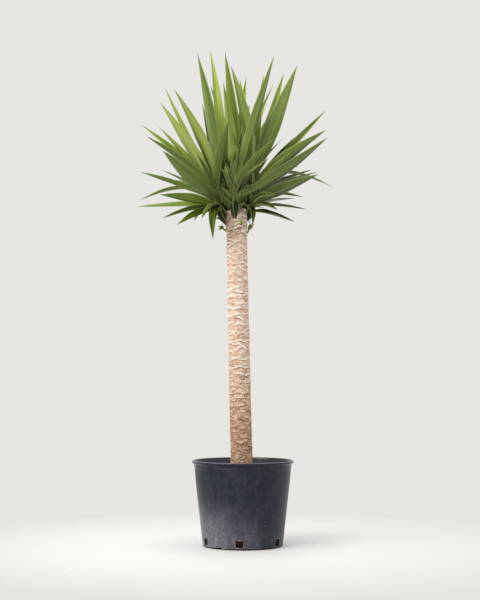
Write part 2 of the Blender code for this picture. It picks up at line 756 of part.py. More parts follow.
def build_heads(parts, cutters, finish, guard_cane):
    stems = {}
    for name, head in HEADS.items():
        stems[name] = stem_object(name, head["stem"], head["radii"], parts)
    placed = place_leaves(stems, tree_of([shell_of(guard_cane)]))
    total = 0
    for name, leaves in placed.items():
        pieces = new_collection(name + "_leaves")
        for index, leaf in enumerate(leaves):
            points, faces = leaf_shell(leaf, LEAF_STATIONS)
            mesh_object(f"{name}_leaf_{index + 1}", points, faces, pieces)
        fuse(stems[name], pieces)
        cut_away(stems[name], guard_cane)
        keep_largest_body(stems[name])
        finish_mesh(stems[name], finish)
        total += len(leaves)
        print(name, len(leaves), "leaves")
    print("leaves in all", total)


def build_side_shoots(parts, finish, guard_cane):
    for name, shoot in SIDE_SHOOTS.items():
        stub = stem_object(name, shoot["stub"], shoot["radii"], parts, sides=6)
        pieces = new_collection(name + "_leaves")
        root = np.array(shoot["stub"][-1], dtype=float) * MM
        for index, tip in enumerate(shoot["tips"]):
            leaf = {"base": root, "tip": np.array(tip, dtype=float) * MM, "shown": 0.6, "thick": 0.9}
            leaf.update(width=shoot["width"] * MM, bow=1.2 * MM)
            points, faces = leaf_shell(leaf, [0.0, 0.5])
            mesh_object(f"{name}_leaf_{index + 1}", points, faces, pieces)
        fuse(stub, pieces)
        cut_away(stub, guard_cane)
        keep_largest_body(stub)
        finish_mesh(stub, finish)


def build_bud(parts, finish, guard_cane):
    """A plump bud lying against the front of the cane."""
    x, z = BUD_PLACE[0] * MM, BUD_PLACE[1] * MM
    reach = float(cane_radius(z))
    aside = x - float(cane_centre(z))
    y = -math.sqrt(reach ** 2 - aside ** 2)
    shape = bmesh.new()
    bmesh.ops.create_uvsphere(shape, u_segments=10, v_segments=7, radius=1.0)
    bmesh.ops.scale(shape, vec=Vector(BUD_SIZE) * MM, verts=shape.verts)
    for point in shape.verts:
        height = point.co.z / (BUD_SIZE[2] * MM)
        point.co.x *= 1 - 0.25 * height
        point.co.y *= 1 - 0.2 * height
    bmesh.ops.translate(shape, vec=(x, y - 1.2 * MM, z), verts=shape.verts)
    mesh = bpy.data.meshes.new("bud_front")
    shape.to_mesh(mesh)
    shape.free()
    bud = bpy.data.objects.new("bud_front", mesh)
    parts.objects.link(bud)
    cut_away(bud, guard_cane)
    keep_largest_body(bud)
    finish_mesh(bud, finish)


def main():
    clear_scene()
    parts = new_collection("potted_yucca")
    cutters = new_collection("cutters")
    plastic = material("black nursery plastic", (0.040, 0.044, 0.056), 0.55)
    mix = material("potting mix", (0.035, 0.024, 0.017), 0.95)
    bark = material("yucca bark", (0.62, 0.45, 0.32), 0.80)
    leaf = material("yucca leaf", (0.13, 0.20, 0.04), 0.45)

    pot = build_pot(parts, cutters, plastic)
    pot.data.shade_smooth()
    build_soil(parts, cutters, mix)
    cane = cane_object("trunk", 0.0, parts)
    finish_mesh(cane, bark, 60)
    guard_cane = cane_object("cane_seat_cutter", SEAT_GAP, cutters)
    hide_cutter(guard_cane)
    build_heads(parts, cutters, leaf, guard_cane)
    build_side_shoots(parts, leaf, guard_cane)
    build_bud(parts, leaf, guard_cane)


main()
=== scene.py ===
# Potted yucca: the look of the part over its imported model.
import math
from functools import partial

import bmesh
import bpy
import numpy as np
from mathutils import Matrix, Vector
from mathutils.bvhtree import BVHTree


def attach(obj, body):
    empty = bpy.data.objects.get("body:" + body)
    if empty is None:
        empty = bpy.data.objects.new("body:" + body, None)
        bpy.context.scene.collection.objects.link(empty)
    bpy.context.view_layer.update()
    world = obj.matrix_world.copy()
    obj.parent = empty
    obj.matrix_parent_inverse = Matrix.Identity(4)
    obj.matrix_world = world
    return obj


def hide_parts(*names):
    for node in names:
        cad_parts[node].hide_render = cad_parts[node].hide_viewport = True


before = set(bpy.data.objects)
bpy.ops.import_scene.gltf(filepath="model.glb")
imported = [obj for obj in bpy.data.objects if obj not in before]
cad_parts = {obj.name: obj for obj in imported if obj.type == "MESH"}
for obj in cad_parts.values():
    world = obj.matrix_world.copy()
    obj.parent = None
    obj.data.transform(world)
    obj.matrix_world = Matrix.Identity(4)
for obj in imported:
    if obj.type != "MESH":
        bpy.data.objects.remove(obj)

mm = 0.001
turnFull = 2 * math.pi
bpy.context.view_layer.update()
front = np.array([0.0, -1.0, 0.0])
goldenAngle = 137.5                 # degrees from one leaf or leaf scar to the next

def linear(hexText):
    # sRGB to linear: c / 12.92 up to 0.04045, above it ((c + 0.055) / 1.055) to the power 2.4
    channels = [int(hexText[at:at + 2], 16) / 255 for at in (1, 3, 5)]
    return tuple(c / 12.92 if c <= 0.04045 else ((c + 0.055) / 1.055) ** 2.4 for c in channels) + (1.0,)

def setNode(node, values):
    # each value goes by the name or number of an input, or the name of a property; a socket is linked
    for key, value in values.items():
        if key == "ramp":
            elements = node.color_ramp.elements
            while len(elements) < len(value):
                elements.new(0.5)
            for element, (position, colour) in zip(elements, value):
                element.position = position
                element.color = linear(colour)
        elif key in ("From", "To"):
            node.inputs[key + " Min"].default_value, node.inputs[key + " Max"].default_value = value
        elif not isinstance(key, int) and key not in node.inputs:
            setattr(node, key, value)
        elif isinstance(value, bpy.types.NodeSocket):
            node.id_data.links.new(value, node.inputs[key])
        else:
            node.inputs[key].default_value = value

def addNode(tree, kind, values, out=0):
    # a node with its settings and links; gives the socket that the others read
    made = tree.nodes.new("ShaderNode" + kind)
    setNode(made, values)
    return made.outputs[out]

def newMaterial(name):
    # the material, addNode for its own tree, and its shader
    made = bpy.data.materials.new(name)
    made.use_nodes = True
    return made, partial(addNode, made.node_tree), made.node_tree.nodes["Principled BSDF"]

def held(value):
    # kept between 0 and 1
    return np.clip(value, 0.0, 1.0)

def unit(vectors):
    # a vector, or each of several in rows, brought to length 1
    alone = vectors.ndim == 1
    return vectors / (np.linalg.norm(vectors) if alone else np.linalg.norm(vectors, axis=1)[:, None])

def spread(*parts):
    # arrays brought to one shape, then laid side by side as the coordinates of points
    return np.stack(np.broadcast_arrays(*parts), axis=-1)

def metres(places):
    # millimetres to metres
    return np.array(places, dtype=float) * mm

def circle(count):
    # the angles of points spaced evenly round Z
    return np.arange(count) * turnFull / count

def ringGrid(radius, around, height, centre=0.0):
    # points on rings round Z or round a middle aside in x: radius and angle give x and y
    return spread(centre + radius * np.cos(around), radius * np.sin(around), height)

def gridFaces(rows, columns):
    # quads between neighbouring rows of a grid, whose last column joins its first
    row, column = np.meshgrid(np.arange(rows - 1), np.arange(columns), indexing="ij")
    after = (column + 1) % columns
    corners = [row * columns + column, row * columns + after]
    corners += [(row + 1) * columns + after, (row + 1) * columns + column]
    return np.stack(corners, axis=-1).reshape(-1, 4).tolist()

def fanFaces(ring, middle, inwards=False):
    # triangles from a ring of points to one in its middle
    ring = np.asarray(ring)
    after = np.roll(ring, -1)
    pair = (after, ring) if inwards else (ring, after)
    return np.stack([pair[0], pair[1], np.full(len(ring), middle)], axis=1).tolist()

def capped(grid, foot=None, head=None):
    # a closed skin: the grid's quads, and at each end a fan on one point, by default the end's middle
    rows, columns = grid.shape[:2]
    foot = grid[0].mean(axis=0) if foot is None else foot
    head = grid[-1].mean(axis=0) if head is None else head
    faces = gridFaces(rows, columns) + fanFaces(np.arange(columns), rows * columns, True)
    faces += fanFaces(np.arange(columns) + (rows - 1) * columns, rows * columns + 1)
    return np.vstack([grid.reshape(-1, 3), foot, head]), faces

def newObject(name, data):
    # an object of the scene, for a mesh, a lamp or the camera
    made = bpy.data.objects.new(name, data)
    bpy.context.scene.collection.objects.link(made)
    return made

def newPiece(name, points, faces, finish, uv=None, marks=None, smooth=60):
    # one object at the origin, with its place in its mesh; uv and marks are given a point at a time
    mesh = bpy.data.meshes.new(name)
    mesh.from_pydata(np.asarray(points).tolist(), [], faces)
    body = bmesh.new()
    body.from_mesh(mesh)
    bmesh.ops.recalc_face_normals(body, faces=body.faces)
    body.to_mesh(mesh)
    body.free()
    if uv is not None:
        corner = np.zeros(len(mesh.loops), dtype=np.int32)
        mesh.loops.foreach_get("vertex_index", corner)
        layer = mesh.uv_layers.new(name="UVMap")
        layer.data.foreach_set("uv", np.asarray(uv, dtype=np.float32)[corner].ravel())
    for key, values in (marks or {}).items():
        layer = mesh.attributes.new(key, "FLOAT", "POINT")
        layer.data.foreach_set("value", np.asarray(values, dtype=np.float32).ravel())
    thing = newObject(name, mesh)
    mesh.materials.append(finish)
    mesh.shade_smooth()
    mesh.set_sharp_from_angle(angle=math.radians(smooth))
    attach(thing, "root")
    return thing

def ripple(draw, around, along, waves, count=14):
    # an uneven surface: sines of whole turns round the piece and free lengths along it, summed
    turns = draw.integers(waves[0], waves[1] + 1, count)
    lengths = draw.uniform(waves[2], waves[3], count)
    phases = draw.uniform(0, turnFull, count)
    total = np.zeros(np.broadcast(around, along).shape)
    for whole, length, phase in zip(turns, lengths, phases):
        total += np.sin(whole * around + turnFull * along / length * draw.choice([-1, 1]) + phase)
    return total / math.sqrt(count)

# moulded black polypropylene: satin, with a bloom of dust, soft scuffs and dried splashes, and painted
# light: a highlight on the rim, shadow at the foot and a paler back half
def makePotPlastic():
    made, add, shader = newMaterial("mouldedPolypropylene")
    place = add("TexCoord", {}, "Object")
    x, y, z = add("SeparateXYZ", {0: place}).node.outputs
    # wiped patches about 75 mm across, and scuffs of 20 to 30 mm
    cloud = add("TexNoise", {"Scale": 13.0, "Detail": 8.0, "Roughness": 0.72, "Vector": place})
    lines = add("Mapping", {"Scale": (55.0, 55.0, 34.0), 0: place})
    scuffs = add("TexNoise", {"Scale": 1.0, "Detail": 6.0, "Roughness": 0.7, "Vector": lines})
    # dust gathers towards the foot, more of it on the left
    low = add("MapRange", {"From": (0.145, 0.0), "Value": z})
    windward = add("MapRange", {"From": (0.05, -0.095), "To": (0.25, 1.4), "Value": x})
    swept = add("Math", {"operation": "MULTIPLY", 0: windward, 1: cloud})
    settled = add("Math", {"operation": "MULTIPLY", 0: low, 1: swept})
    dust = add("MapRange", {"From": (0.08, 0.70), "To": (0.0, 0.85), "Value": settled})
    streak = add("MapRange", {"From": (0.46, 0.80), "To": (0.0, 0.14), "Value": scuffs})
    # it lies in grains of 2 to 5 mm
    grain = add("TexNoise", {"Scale": 190.0, "Detail": 5.0, "Roughness": 0.75, "Vector": place})
    patchy = add("MapRange", {"From": (0.38, 0.64), "To": (0.62, 1.42), "Value": grain})
    mottled = add("Math", {"operation": "MULTIPLY", 0: dust, 1: patchy})
    outside = add("Math", {"operation": "ADD", "use_clamp": True, 0: mottled, 1: streak})
    # the back half of the pot, inside and out, is painted a little paler: painted light that lifts the
    # shaded inner back wall
    paintedBackLight = add("MapRange", {"From": (0.02, 0.10), "To": (0.0, 0.12), "Value": y})
    both = add("Math", {"operation": "ADD", "use_clamp": True, 0: outside, 1: paintedBackLight})
    # splashes of 1 mm, where a coarser noise lets them show
    grit = add("TexVoronoi", {"Scale": 210.0, "Vector": place}, "Distance")
    speck = add("MapRange", {"From": (0.16, 0.08), "Value": grit})
    often = add("TexNoise", {"Scale": 60.0, "Detail": 2.0, "Vector": place})
    chosen = add("MapRange", {"From": (0.51, 0.62), "Value": often})
    fewer = add("Math", {"operation": "MULTIPLY", 0: speck, 1: chosen})
    lowSpecks = add("Math", {"operation": "MULTIPLY", 0: fewer, 1: low})
    # a painted highlight along the rim's top edge, and painted shadow on the foot's turned edge where it
    # meets the floor
    paintedRimHighlight = add("MapRange", {"From": (0.2090, 0.2100), "To": (0.0, 0.30), "Value": z})
    paintedFootShadow = add("MapRange", {"From": (0.0042, 0.0022), "To": (0.0, 0.92), "Value": z})
    colour = linear("#131825")
    # over the base colour: dust with painted light on the back half, splashes, the painted rim highlight
    # and the painted foot shadow
    for share, tint in ((both, "#7e7e87"), (lowSpecks, "#c9c8c4"), (paintedRimHighlight, "#8b8a8e"), (paintedFootShadow, "#07090d")):
        colour = add("Mix", {"data_type": "RGBA", 0: share, 6: colour, 7: linear(tint)}, 2)
    rough = add("MapRange", {"To": (0.24, 0.50), "Value": scuffs})
    # the handled rim is smoother
    bead = add("MapRange", {"From": (0.186, 0.200), "To": (1.0, 0.45), "Value": z})
    gloss = add("Math", {"operation": "MULTIPLY", 0: rough, 1: bead})
    dents = add("Bump", {"Strength": 0.10, "Distance": 0.0005, "Height": scuffs})
    setNode(shader, {"Base Color": colour, "Roughness": gloss, "Normal": dents, "IOR": 1.49,
                     "Specular IOR Level": 0.30, "Metallic": 0.0})
    return made

# bark of an old cane: dry and matt, pale cork on the lips of the leaf scars with a painted highlight, and
# painted shade in the creases under them
def makeBark():
    made, add, shader = newMaterial("yuccaBark")
    place = add("TexCoord", {}, "Object")
    crest, crease, pit, age, cell = [add("Attribute", {"attribute_name": name}, "Fac")
                                     for name in ("crest", "crease", "pit", "age", "cell")]
    # stains about 10 mm across, on patches that the mesh gives; on the upper cane the patches carry painted
    # light as well
    stains = add("TexNoise", {"Scale": 95.0, "Detail": 6.0, "Roughness": 0.68, "Vector": place})
    colour = add("Math", {"operation": "MULTIPLY_ADD", 1: 0.055, 0: cell, 2: stains})
    fresh = add("ValToRGB", {0: colour, "ramp": [(0.30, "#b98a6e"), (0.43, "#d0ab91"), (0.56, "#dcc3ad"),
                                                 (0.72, "#ebddcb")]})
    old = add("ValToRGB", {0: colour, "ramp": [(0.32, "#7b5843"), (0.45, "#a58268"), (0.58, "#c0a085"),
                                               (0.74, "#d6bfa4")]})
    colour = add("Mix", {"data_type": "RGBA", 0: age, 6: fresh, 7: old}, 2)
    # crease tint: painted shade under each scar's lip, with the rust of slits and stains; crest tint: the
    # lips' pale cork brightened as a painted highlight
    for share, tint in ((crease, "#a0643c"), (crest, "#faf2e6"), (pit, "#442d1f")):
        colour = add("Mix", {"data_type": "RGBA", 0: share, 6: colour, 7: linear(tint)}, 2)
    # cork fibres 2.4 by 7 mm, drawn coarse to show
    grain = add("Mapping", {"Scale": (420.0, 420.0, 150.0), 0: place})
    fibre = add("TexNoise", {"Scale": 1.0, "Detail": 4.0, "Roughness": 0.7, "Vector": grain})
    shade = add("MapRange", {"From": (0.30, 0.70), "To": (0.80, 1.10), "Value": fibre})
    colour = add("Mix", {"data_type": "RGBA", "blend_type": "MULTIPLY", 0: 1.0, 6: colour, 7: shade}, 2)
    bump = add("Bump", {"Strength": 0.6, "Distance": 0.0012, "Height": fibre})
    setNode(shader, {"Base Color": colour, "Normal": bump, "Roughness": 0.82, "Specular IOR Level": 0.3})
    return made

# living sword leaves: tough skin with a thin wax, lengthwise veins, a paler margin and midrib, and each
# leaf's light and shade painted into its tone
def makeLeafSkin():
    made, add, shader = newMaterial("yuccaLeafSkin")
    spot = add("UVMap", {"uv_map": "UVMap"})
    u, v, _ = add("SeparateXYZ", {0: spot}).node.outputs
    tone, under, dry = [add("Attribute", {"attribute_name": name}, "Fac")
                        for name in ("tone", "under", "dry")]
    seed = add("CombineXYZ", {2: tone})
    # veins 1 mm apart, drawn 3 mm wide to show, and broad drifts of tone; each leaf's are its own
    patterns = []
    for scale, away, noise in (((9.0, 1.1, 1.0), 40.0, {"Scale": 1.0, "Detail": 3.0, "Roughness": 0.65}),
                               ((2.4, 3.2, 1.0), 25.0, {"Scale": 1.0, "Detail": 3.0})):
        stretched = add("Mapping", {"Scale": scale, 0: spot})
        sown = add("VectorMath", {"operation": "MULTIPLY_ADD", 1: (0.0, 0.0, away), 0: seed, 2: stretched})
        patterns.append(add("TexNoise", dict(noise, Vector=sown)))
    veins, clouds = patterns
    # from each leaf's tone: partly its own colour, partly painted light and shade, brighter for backlit
    # leaves and darker for shaded ones
    level = add("MapRange", {"From": (-1.0, 1.0), "Value": tone})
    for pattern, reach in ((veins, 0.17), (clouds, 0.08)):
        shift = add("MapRange", {"From": (0.3, 0.7), "To": (-reach, reach), "Value": pattern})
        level = add("Math", {"operation": "ADD", 0: level, 1: shift})
    colour = add("ValToRGB", {0: level, "ramp": [(0.0, "#1e2a08"), (0.25, "#3c4c0f"), (0.5, "#6e822e"),
                                                 (0.75, "#a8b957"), (1.0, "#cad774")]})
    offMiddle = add("Math", {"operation": "SUBTRACT", 1: 0.5, 0: u})
    aside = add("Math", {"operation": "ABSOLUTE", 0: offMiddle})
    rib = add("MapRange", {"From": (0.07, 0.0), "To": (0.0, 0.38), "Value": aside})
    rim = add("MapRange", {"From": (0.43, 0.50), "To": (0.0, 0.60), "Value": aside})
    paler = add("Math", {"operation": "MULTIPLY", 1: 0.32, 0: under})
    foot = add("MapRange", {"From": (0.13, 0.0), "To": (0.0, 0.55), "Value": v})
    for share, tint in ((rib, "#a7b765"), (rim, "#b3b877"), (paler, "#8b9c60"), (foot, "#b4bd6a")):
        colour = add("Mix", {"data_type": "RGBA", 0: share, 6: colour, 7: linear(tint)}, 2)
    scale = add("ValToRGB", {0: veins, "ramp": [(0.3, "#553621"), (0.5, "#7f5535"), (0.7, "#b08a5e")]})
    colour = add("Mix", {"data_type": "RGBA", 0: dry, 6: colour, 7: scale}, 2)
    bump = add("Bump", {"Strength": 0.35, "Distance": 0.0004, "Height": veins})
    rough = add("MapRange", {"To": (0.24, 0.38), "Value": clouds})
    setNode(shader, {"Base Color": colour, "Normal": bump, "Roughness": rough, "IOR": 1.45,
                     "Specular IOR Level": 0.19, "Subsurface Weight": 0.10,
                     "Subsurface Radius": (0.55, 1.0, 0.15), "Subsurface Scale": 0.0022})
    return made

# potting mix: peat and composted bark, damp, dark and without any shine
def makeMix():
    made, add, shader = newMaterial("pottingMix")
    place = add("TexCoord", {}, "Object")
    crumbs = add("TexVoronoi", {"Scale": 240.0, "Vector": place}).node.outputs    # 4 mm crumbs
    clumps = add("TexNoise", {"Scale": 55.0, "Detail": 6.0, "Roughness": 0.7, "Vector": place})
    colour = add("ValToRGB", {0: clumps, "ramp": [(0.30, "#17110d"), (0.48, "#2b2019"), (0.62, "#43332a"),
                                                  (0.78, "#6a5443")]})
    colour = add("Mix", {"data_type": "RGBA", "blend_type": "MULTIPLY", 0: 0.6, 6: colour,
                         7: crumbs["Color"]}, 2)
    bump = add("Bump", {"Strength": 0.9, "Distance": 0.003, "Height": crumbs["Distance"]})
    setNode(shader, {"Base Color": colour, "Normal": bump, "Roughness": 0.95, "Specular IOR Level": 0.2})
    return made

crumbly = {
    # bark chips in the mix: composted pine, brown and matt with a paler broken edge
    "compostedPineBark": {"grain": 130.0, "dents": 1.0 * mm, "rough": 0.85,
                          "ramp": [(0.32, "#2d1d13"), (0.5, "#5a3c27"), (0.68, "#8a6543")]},
    # pale rings round the drain holes, brown to beige and chalky: a painted highlight on the lit cut edges
    # of the wall
    "paintedSlotEdge": {"grain": 170.0, "dents": 0.8 * mm, "rough": 0.92,
                  "ramp": [(0.34, "#3a2d25"), (0.5, "#7d604c"), (0.66, "#c4ad96")]},
}

def makeCrumbly(name):
    # one noise gives both the colour and the dents
    made, add, shader = newMaterial(name)
    look = crumbly[name]
    place = add("TexCoord", {}, "Object")
    crust = add("TexNoise", {"Scale": look["grain"], "Detail": 5.0, "Vector": place})
    colour = add("ValToRGB", {0: crust, "ramp": look["ramp"]})
    bump = add("Bump", {"Strength": 0.5, "Distance": look["dents"], "Height": crust})
    setNode(shader, {"Base Color": colour, "Normal": bump, "Roughness": look["rough"]})
    return made

potPlastic = makePotPlastic()
bark = makeBark()
leafSkin = makeLeafSkin()
pottingMix = makeMix()
pineChips = makeCrumbly("compostedPineBark")
paintedSlotEdge = makeCrumbly("paintedSlotEdge")
print("materials made")

pot = {
    "height": 211 * mm, "lipRadius": 127 * mm, "wallTop": 120.2 * mm, "wallMid": 117.5 * mm,
    "midHeight": 162 * mm, "upperFlare": 31 * mm, "footRadius": 99.3 * mm, "wall": 2.0 * mm,
    "padRadius": 42 * mm, "recess": 5.0 * mm, "footRing": 5.0 * mm, "segments": 264, "wallEnd": 188 * mm,
    # bead and step ring: mm out from the lip's edge and down from its top
    "bead": [(-6.8, 9), (-5.6, 1.4), (-3.2, -0.6), (-0.4, 0.6), (0.3, 3.6), (-1.0, 6.6), (-4.4, 8.2),
             (-5.3, 9.8), (-6.3, 14.4), (-5.8, 15.4), (-5.9, 17.4)],
    # degrees round from the front
    "slotAngles": (-64, -5, 57, 117, 176, 237), "slotWidth": 20 * mm, "slotLow": 5 * mm,
    "slotHigh": 24 * mm, "slotCorner": 3.5 * mm, "notchAngles": (-35.5, 84.5, 204.5),
    "notchWidth": 24 * mm, "notchHeight": 5.5 * mm, "notchCorner": 1.2 * mm,
    # the wobble begins at the first height and is full after the second length; its end likewise
    "wobble": 0.22 * mm, "wobbleFrom": (20 * mm, 50 * mm), "wobbleTo": (192 * mm, 12 * mm),
    "sharpOver": 38, "seed": 21,
}

def wallRadius(height):
    # straight flare from foot to middle, then a little less above it
    middle, top, turned = pot["wallMid"], pot["height"], pot["midHeight"]
    end = middle + (pot["wallTop"] - middle) * (top - turned) / pot["upperFlare"]
    return np.interp(height, [0.0, turned, top], [pot["footRadius"], middle, end])

def rounded(line, rounds):
    # corner cutting: each edge keeps its points at a quarter and three quarters, the ends stay
    line = np.asarray(line, dtype=float)
    for _ in range(rounds):
        cut = np.stack([0.75 * line[:-1] + 0.25 * line[1:], 0.25 * line[:-1] + 0.75 * line[1:]], axis=1)
        line = np.vstack([line[:1], cut.reshape(-1, 2), line[-1:]])
    return line

def potProfile():
    # inside of the shell from the middle of the floor to the lip, round the bead, and down the outside
    lip, top, floor, end = pot["lipRadius"], pot["height"], pot["wall"] + 0.5 * mm, pot["wallEnd"]
    foot, pad, recess = pot["footRadius"], pot["padRadius"], pot["recess"]
    raised = floor + recess
    corner = wallRadius(raised + 3 * mm) - pot["wall"]
    steps = np.linspace(raised + 6 * mm, end - 3 * mm, 30)
    inner = [(0.4 * mm, floor), (pad - 2 * mm, floor), (pad + 1.2 * mm, raised)]
    inner += [(corner - 5 * mm, raised), (corner, raised + 3 * mm)]
    inner += list(zip(wallRadius(steps) - pot["wall"], steps))
    bead = [(wallRadius(end) - pot["wall"], end)]
    bead += [(lip + out * mm, top - down * mm) for out, down in pot["bead"]]
    bead += [(pot["wallTop"], top - 19 * mm), (wallRadius(end), end)]
    bead = rounded(bead, 2)
    bead[:, 1] = np.minimum(bead[:, 1], top)
    bead[:, 0] = np.minimum(bead[:, 0], lip)
    steps = np.linspace(end - 2 * mm, 6 * mm, 46)
    outer = list(zip(wallRadius(steps), steps))
    outer += [(foot + 0.1 * mm, 1.8 * mm), (foot - 0.5 * mm, 0.5 * mm), (foot - 1.8 * mm, 0.0)]
    outer += [(foot - pot["footRing"], 0.0), (foot - pot["footRing"] - 1.5 * mm, recess)]
    outer += [(pad + 3 * mm, recess), (pad, 0.0), (0.4 * mm, 0.0)]
    return np.vstack([inner, bead, outer])

def wallCutter(angle, width, low, high, corner):
    # a block through the wall at an angle from the front, its four long edges rounded
    mesh = bpy.data.meshes.new("cutter")
    deep = 26 * mm
    block = bmesh.new()
    bmesh.ops.create_cube(block, size=1.0)
    bmesh.ops.transform(block, matrix=Matrix.Diagonal((width, deep, high - low, 1.0)), verts=block.verts)
    through = [e for e in block.edges if abs((e.verts[0].co - e.verts[1].co).y) > deep / 2]
    bmesh.ops.bevel(block, geom=through, offset=corner, segments=6, affect="EDGES", profile=0.5)
    reach = pot["footRadius"] + 5 * mm
    turn = math.radians(angle)
    place = Matrix.Translation((reach * math.sin(turn), -reach * math.cos(turn), (low + high) / 2))
    bmesh.ops.transform(block, matrix=place @ Matrix.Rotation(turn, 4, "Z"), verts=block.verts)
    block.to_mesh(mesh)
    block.free()
    return newObject("cutter", mesh)

def applied(thing):
    # the object's mesh with its modifiers worked in
    graph = bpy.context.evaluated_depsgraph_get()
    made = bpy.data.meshes.new_from_object(thing.evaluated_get(graph), preserve_all_data_layers=True,
                                           depsgraph=graph)
    thing.modifiers.clear()
    thing.data = made

def makePot():
    # profile turned about Z; the wall wobbles by a slow ripple, as a thin moulded wall does
    draw = np.random.default_rng(pot["seed"])
    profile = potProfile()
    around = circle(pot["segments"])
    height = profile[:, 1][:, None]
    start, end = pot["wobbleFrom"], pot["wobbleTo"]
    loose = held((height - start[0]) / start[1]) * held((end[0] - height) / end[1])
    wobble = pot["wobble"] * loose * ripple(draw, around, height, (1, 6, 0.08, 0.4))
    radius = profile[:, 0][:, None] + wobble
    points, faces = capped(ringGrid(radius, around, height), [0, 0, profile[0, 1]], [0, 0, 0])
    shell = newPiece("potShell", points, faces, potPlastic)
    cutters = [wallCutter(a, pot["slotWidth"], pot["slotLow"], pot["slotHigh"], pot["slotCorner"])
               for a in pot["slotAngles"]]
    cutters += [wallCutter(a, pot["notchWidth"], -4 * mm, pot["notchHeight"], pot["notchCorner"])
                for a in pot["notchAngles"]]
    for cutter in cutters:
        cut = shell.modifiers.new("cut", "BOOLEAN")
        cut.operation = "DIFFERENCE"
        cut.object = cutter
        cut.solver = "EXACT"
    applied(shell)
    for cutter in cutters:
        bpy.data.objects.remove(cutter)
    shell.data.shade_smooth()
    shell.data.set_sharp_from_angle(angle=math.radians(pot["sharpOver"]))
    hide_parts("pot")

paintedEdge = {"bead": 0.60 * mm, "sides": 8, "steps": 96, "corner": 2 / 5, "seed": 8}

def paintedEdgeTube(angle, width, low, high, draw, openBelow):
    # a thin uneven tube laid on the wall along the edge of a hole, as a painted highlight on that edge: a
    # rounded oblong in arc and height
    share = np.arange(paintedEdge["steps"]) / paintedEdge["steps"]
    if openBelow:
        share = 0.01 + 0.98 * np.arange(paintedEdge["steps"]) / (paintedEdge["steps"] - 1)
        across = width * (share - 0.5)
        up = high * np.minimum(1.0, np.minimum(share, 1 - share) / 0.09) ** 0.5
        across = across * np.minimum(1.0, 0.94 + 0.06 * up / high)
    else:
        side, rise = np.cos(share * turnFull), np.sin(share * turnFull)
        across = width / 2 * np.sign(side) * np.abs(side) ** paintedEdge["corner"]
        up = (low + high) / 2 + (high - low) / 2 * np.sign(rise) * np.abs(rise) ** paintedEdge["corner"]
    size = paintedEdge["bead"] * (0.35 + 0.85 * np.abs(ripple(draw, turnFull * share, 0 * share, (2, 17, 1, 2))))
    around = circle(paintedEdge["sides"])
    flatStep = np.gradient(np.stack([across, up], axis=1), axis=0)
    flatStep /= np.maximum(np.linalg.norm(flatStep, axis=1)[:, None], 1e-9)
    outFlat = np.stack([flatStep[:, 1], -flatStep[:, 0]], axis=1)
    flatOut = size[:, None] * np.cos(around)
    lift = size[:, None] * np.sin(around) * 0.55
    flatAcross = across[:, None] + outFlat[:, :1] * flatOut
    flatUp = np.maximum(up[:, None] + outFlat[:, 1:] * flatOut, 0.4 * mm)
    reach = wallRadius(flatUp) + lift
    bearing = math.radians(angle) + flatAcross / wallRadius(flatUp)
    return np.stack([reach * np.sin(bearing), -reach * np.cos(bearing), flatUp], axis=-1)

def makePaintedEdgeRings():
    # a ring round each slot, closed on itself, and a tube with two ends over each notch: painted highlight
    # on the holes' lit edges
    draw = np.random.default_rng(paintedEdge["seed"])
    for index, angle in enumerate(pot["slotAngles"]):
        grid = paintedEdgeTube(angle, pot["slotWidth"], pot["slotLow"], pot["slotHigh"], draw, False)
        rows, columns = grid.shape[:2]
        last = (rows - 1) * columns + np.arange(columns)
        first = np.arange(columns)
        closing = np.stack([last, np.roll(last, -1), np.roll(first, -1), first], axis=1).tolist()
        newPiece(f"paintedEdgeRing_{index + 1}", grid.reshape(-1, 3), gridFaces(rows, columns) + closing,
                 paintedSlotEdge)
    for index, angle in enumerate(pot["notchAngles"]):
        points, faces = capped(paintedEdgeTube(angle, pot["notchWidth"], 0, pot["notchHeight"], draw, True))
        newPiece(f"paintedNotchEdge_{index + 1}", points, faces, paintedSlotEdge)

makePot()
makePaintedEdgeRings()
print("pot made")

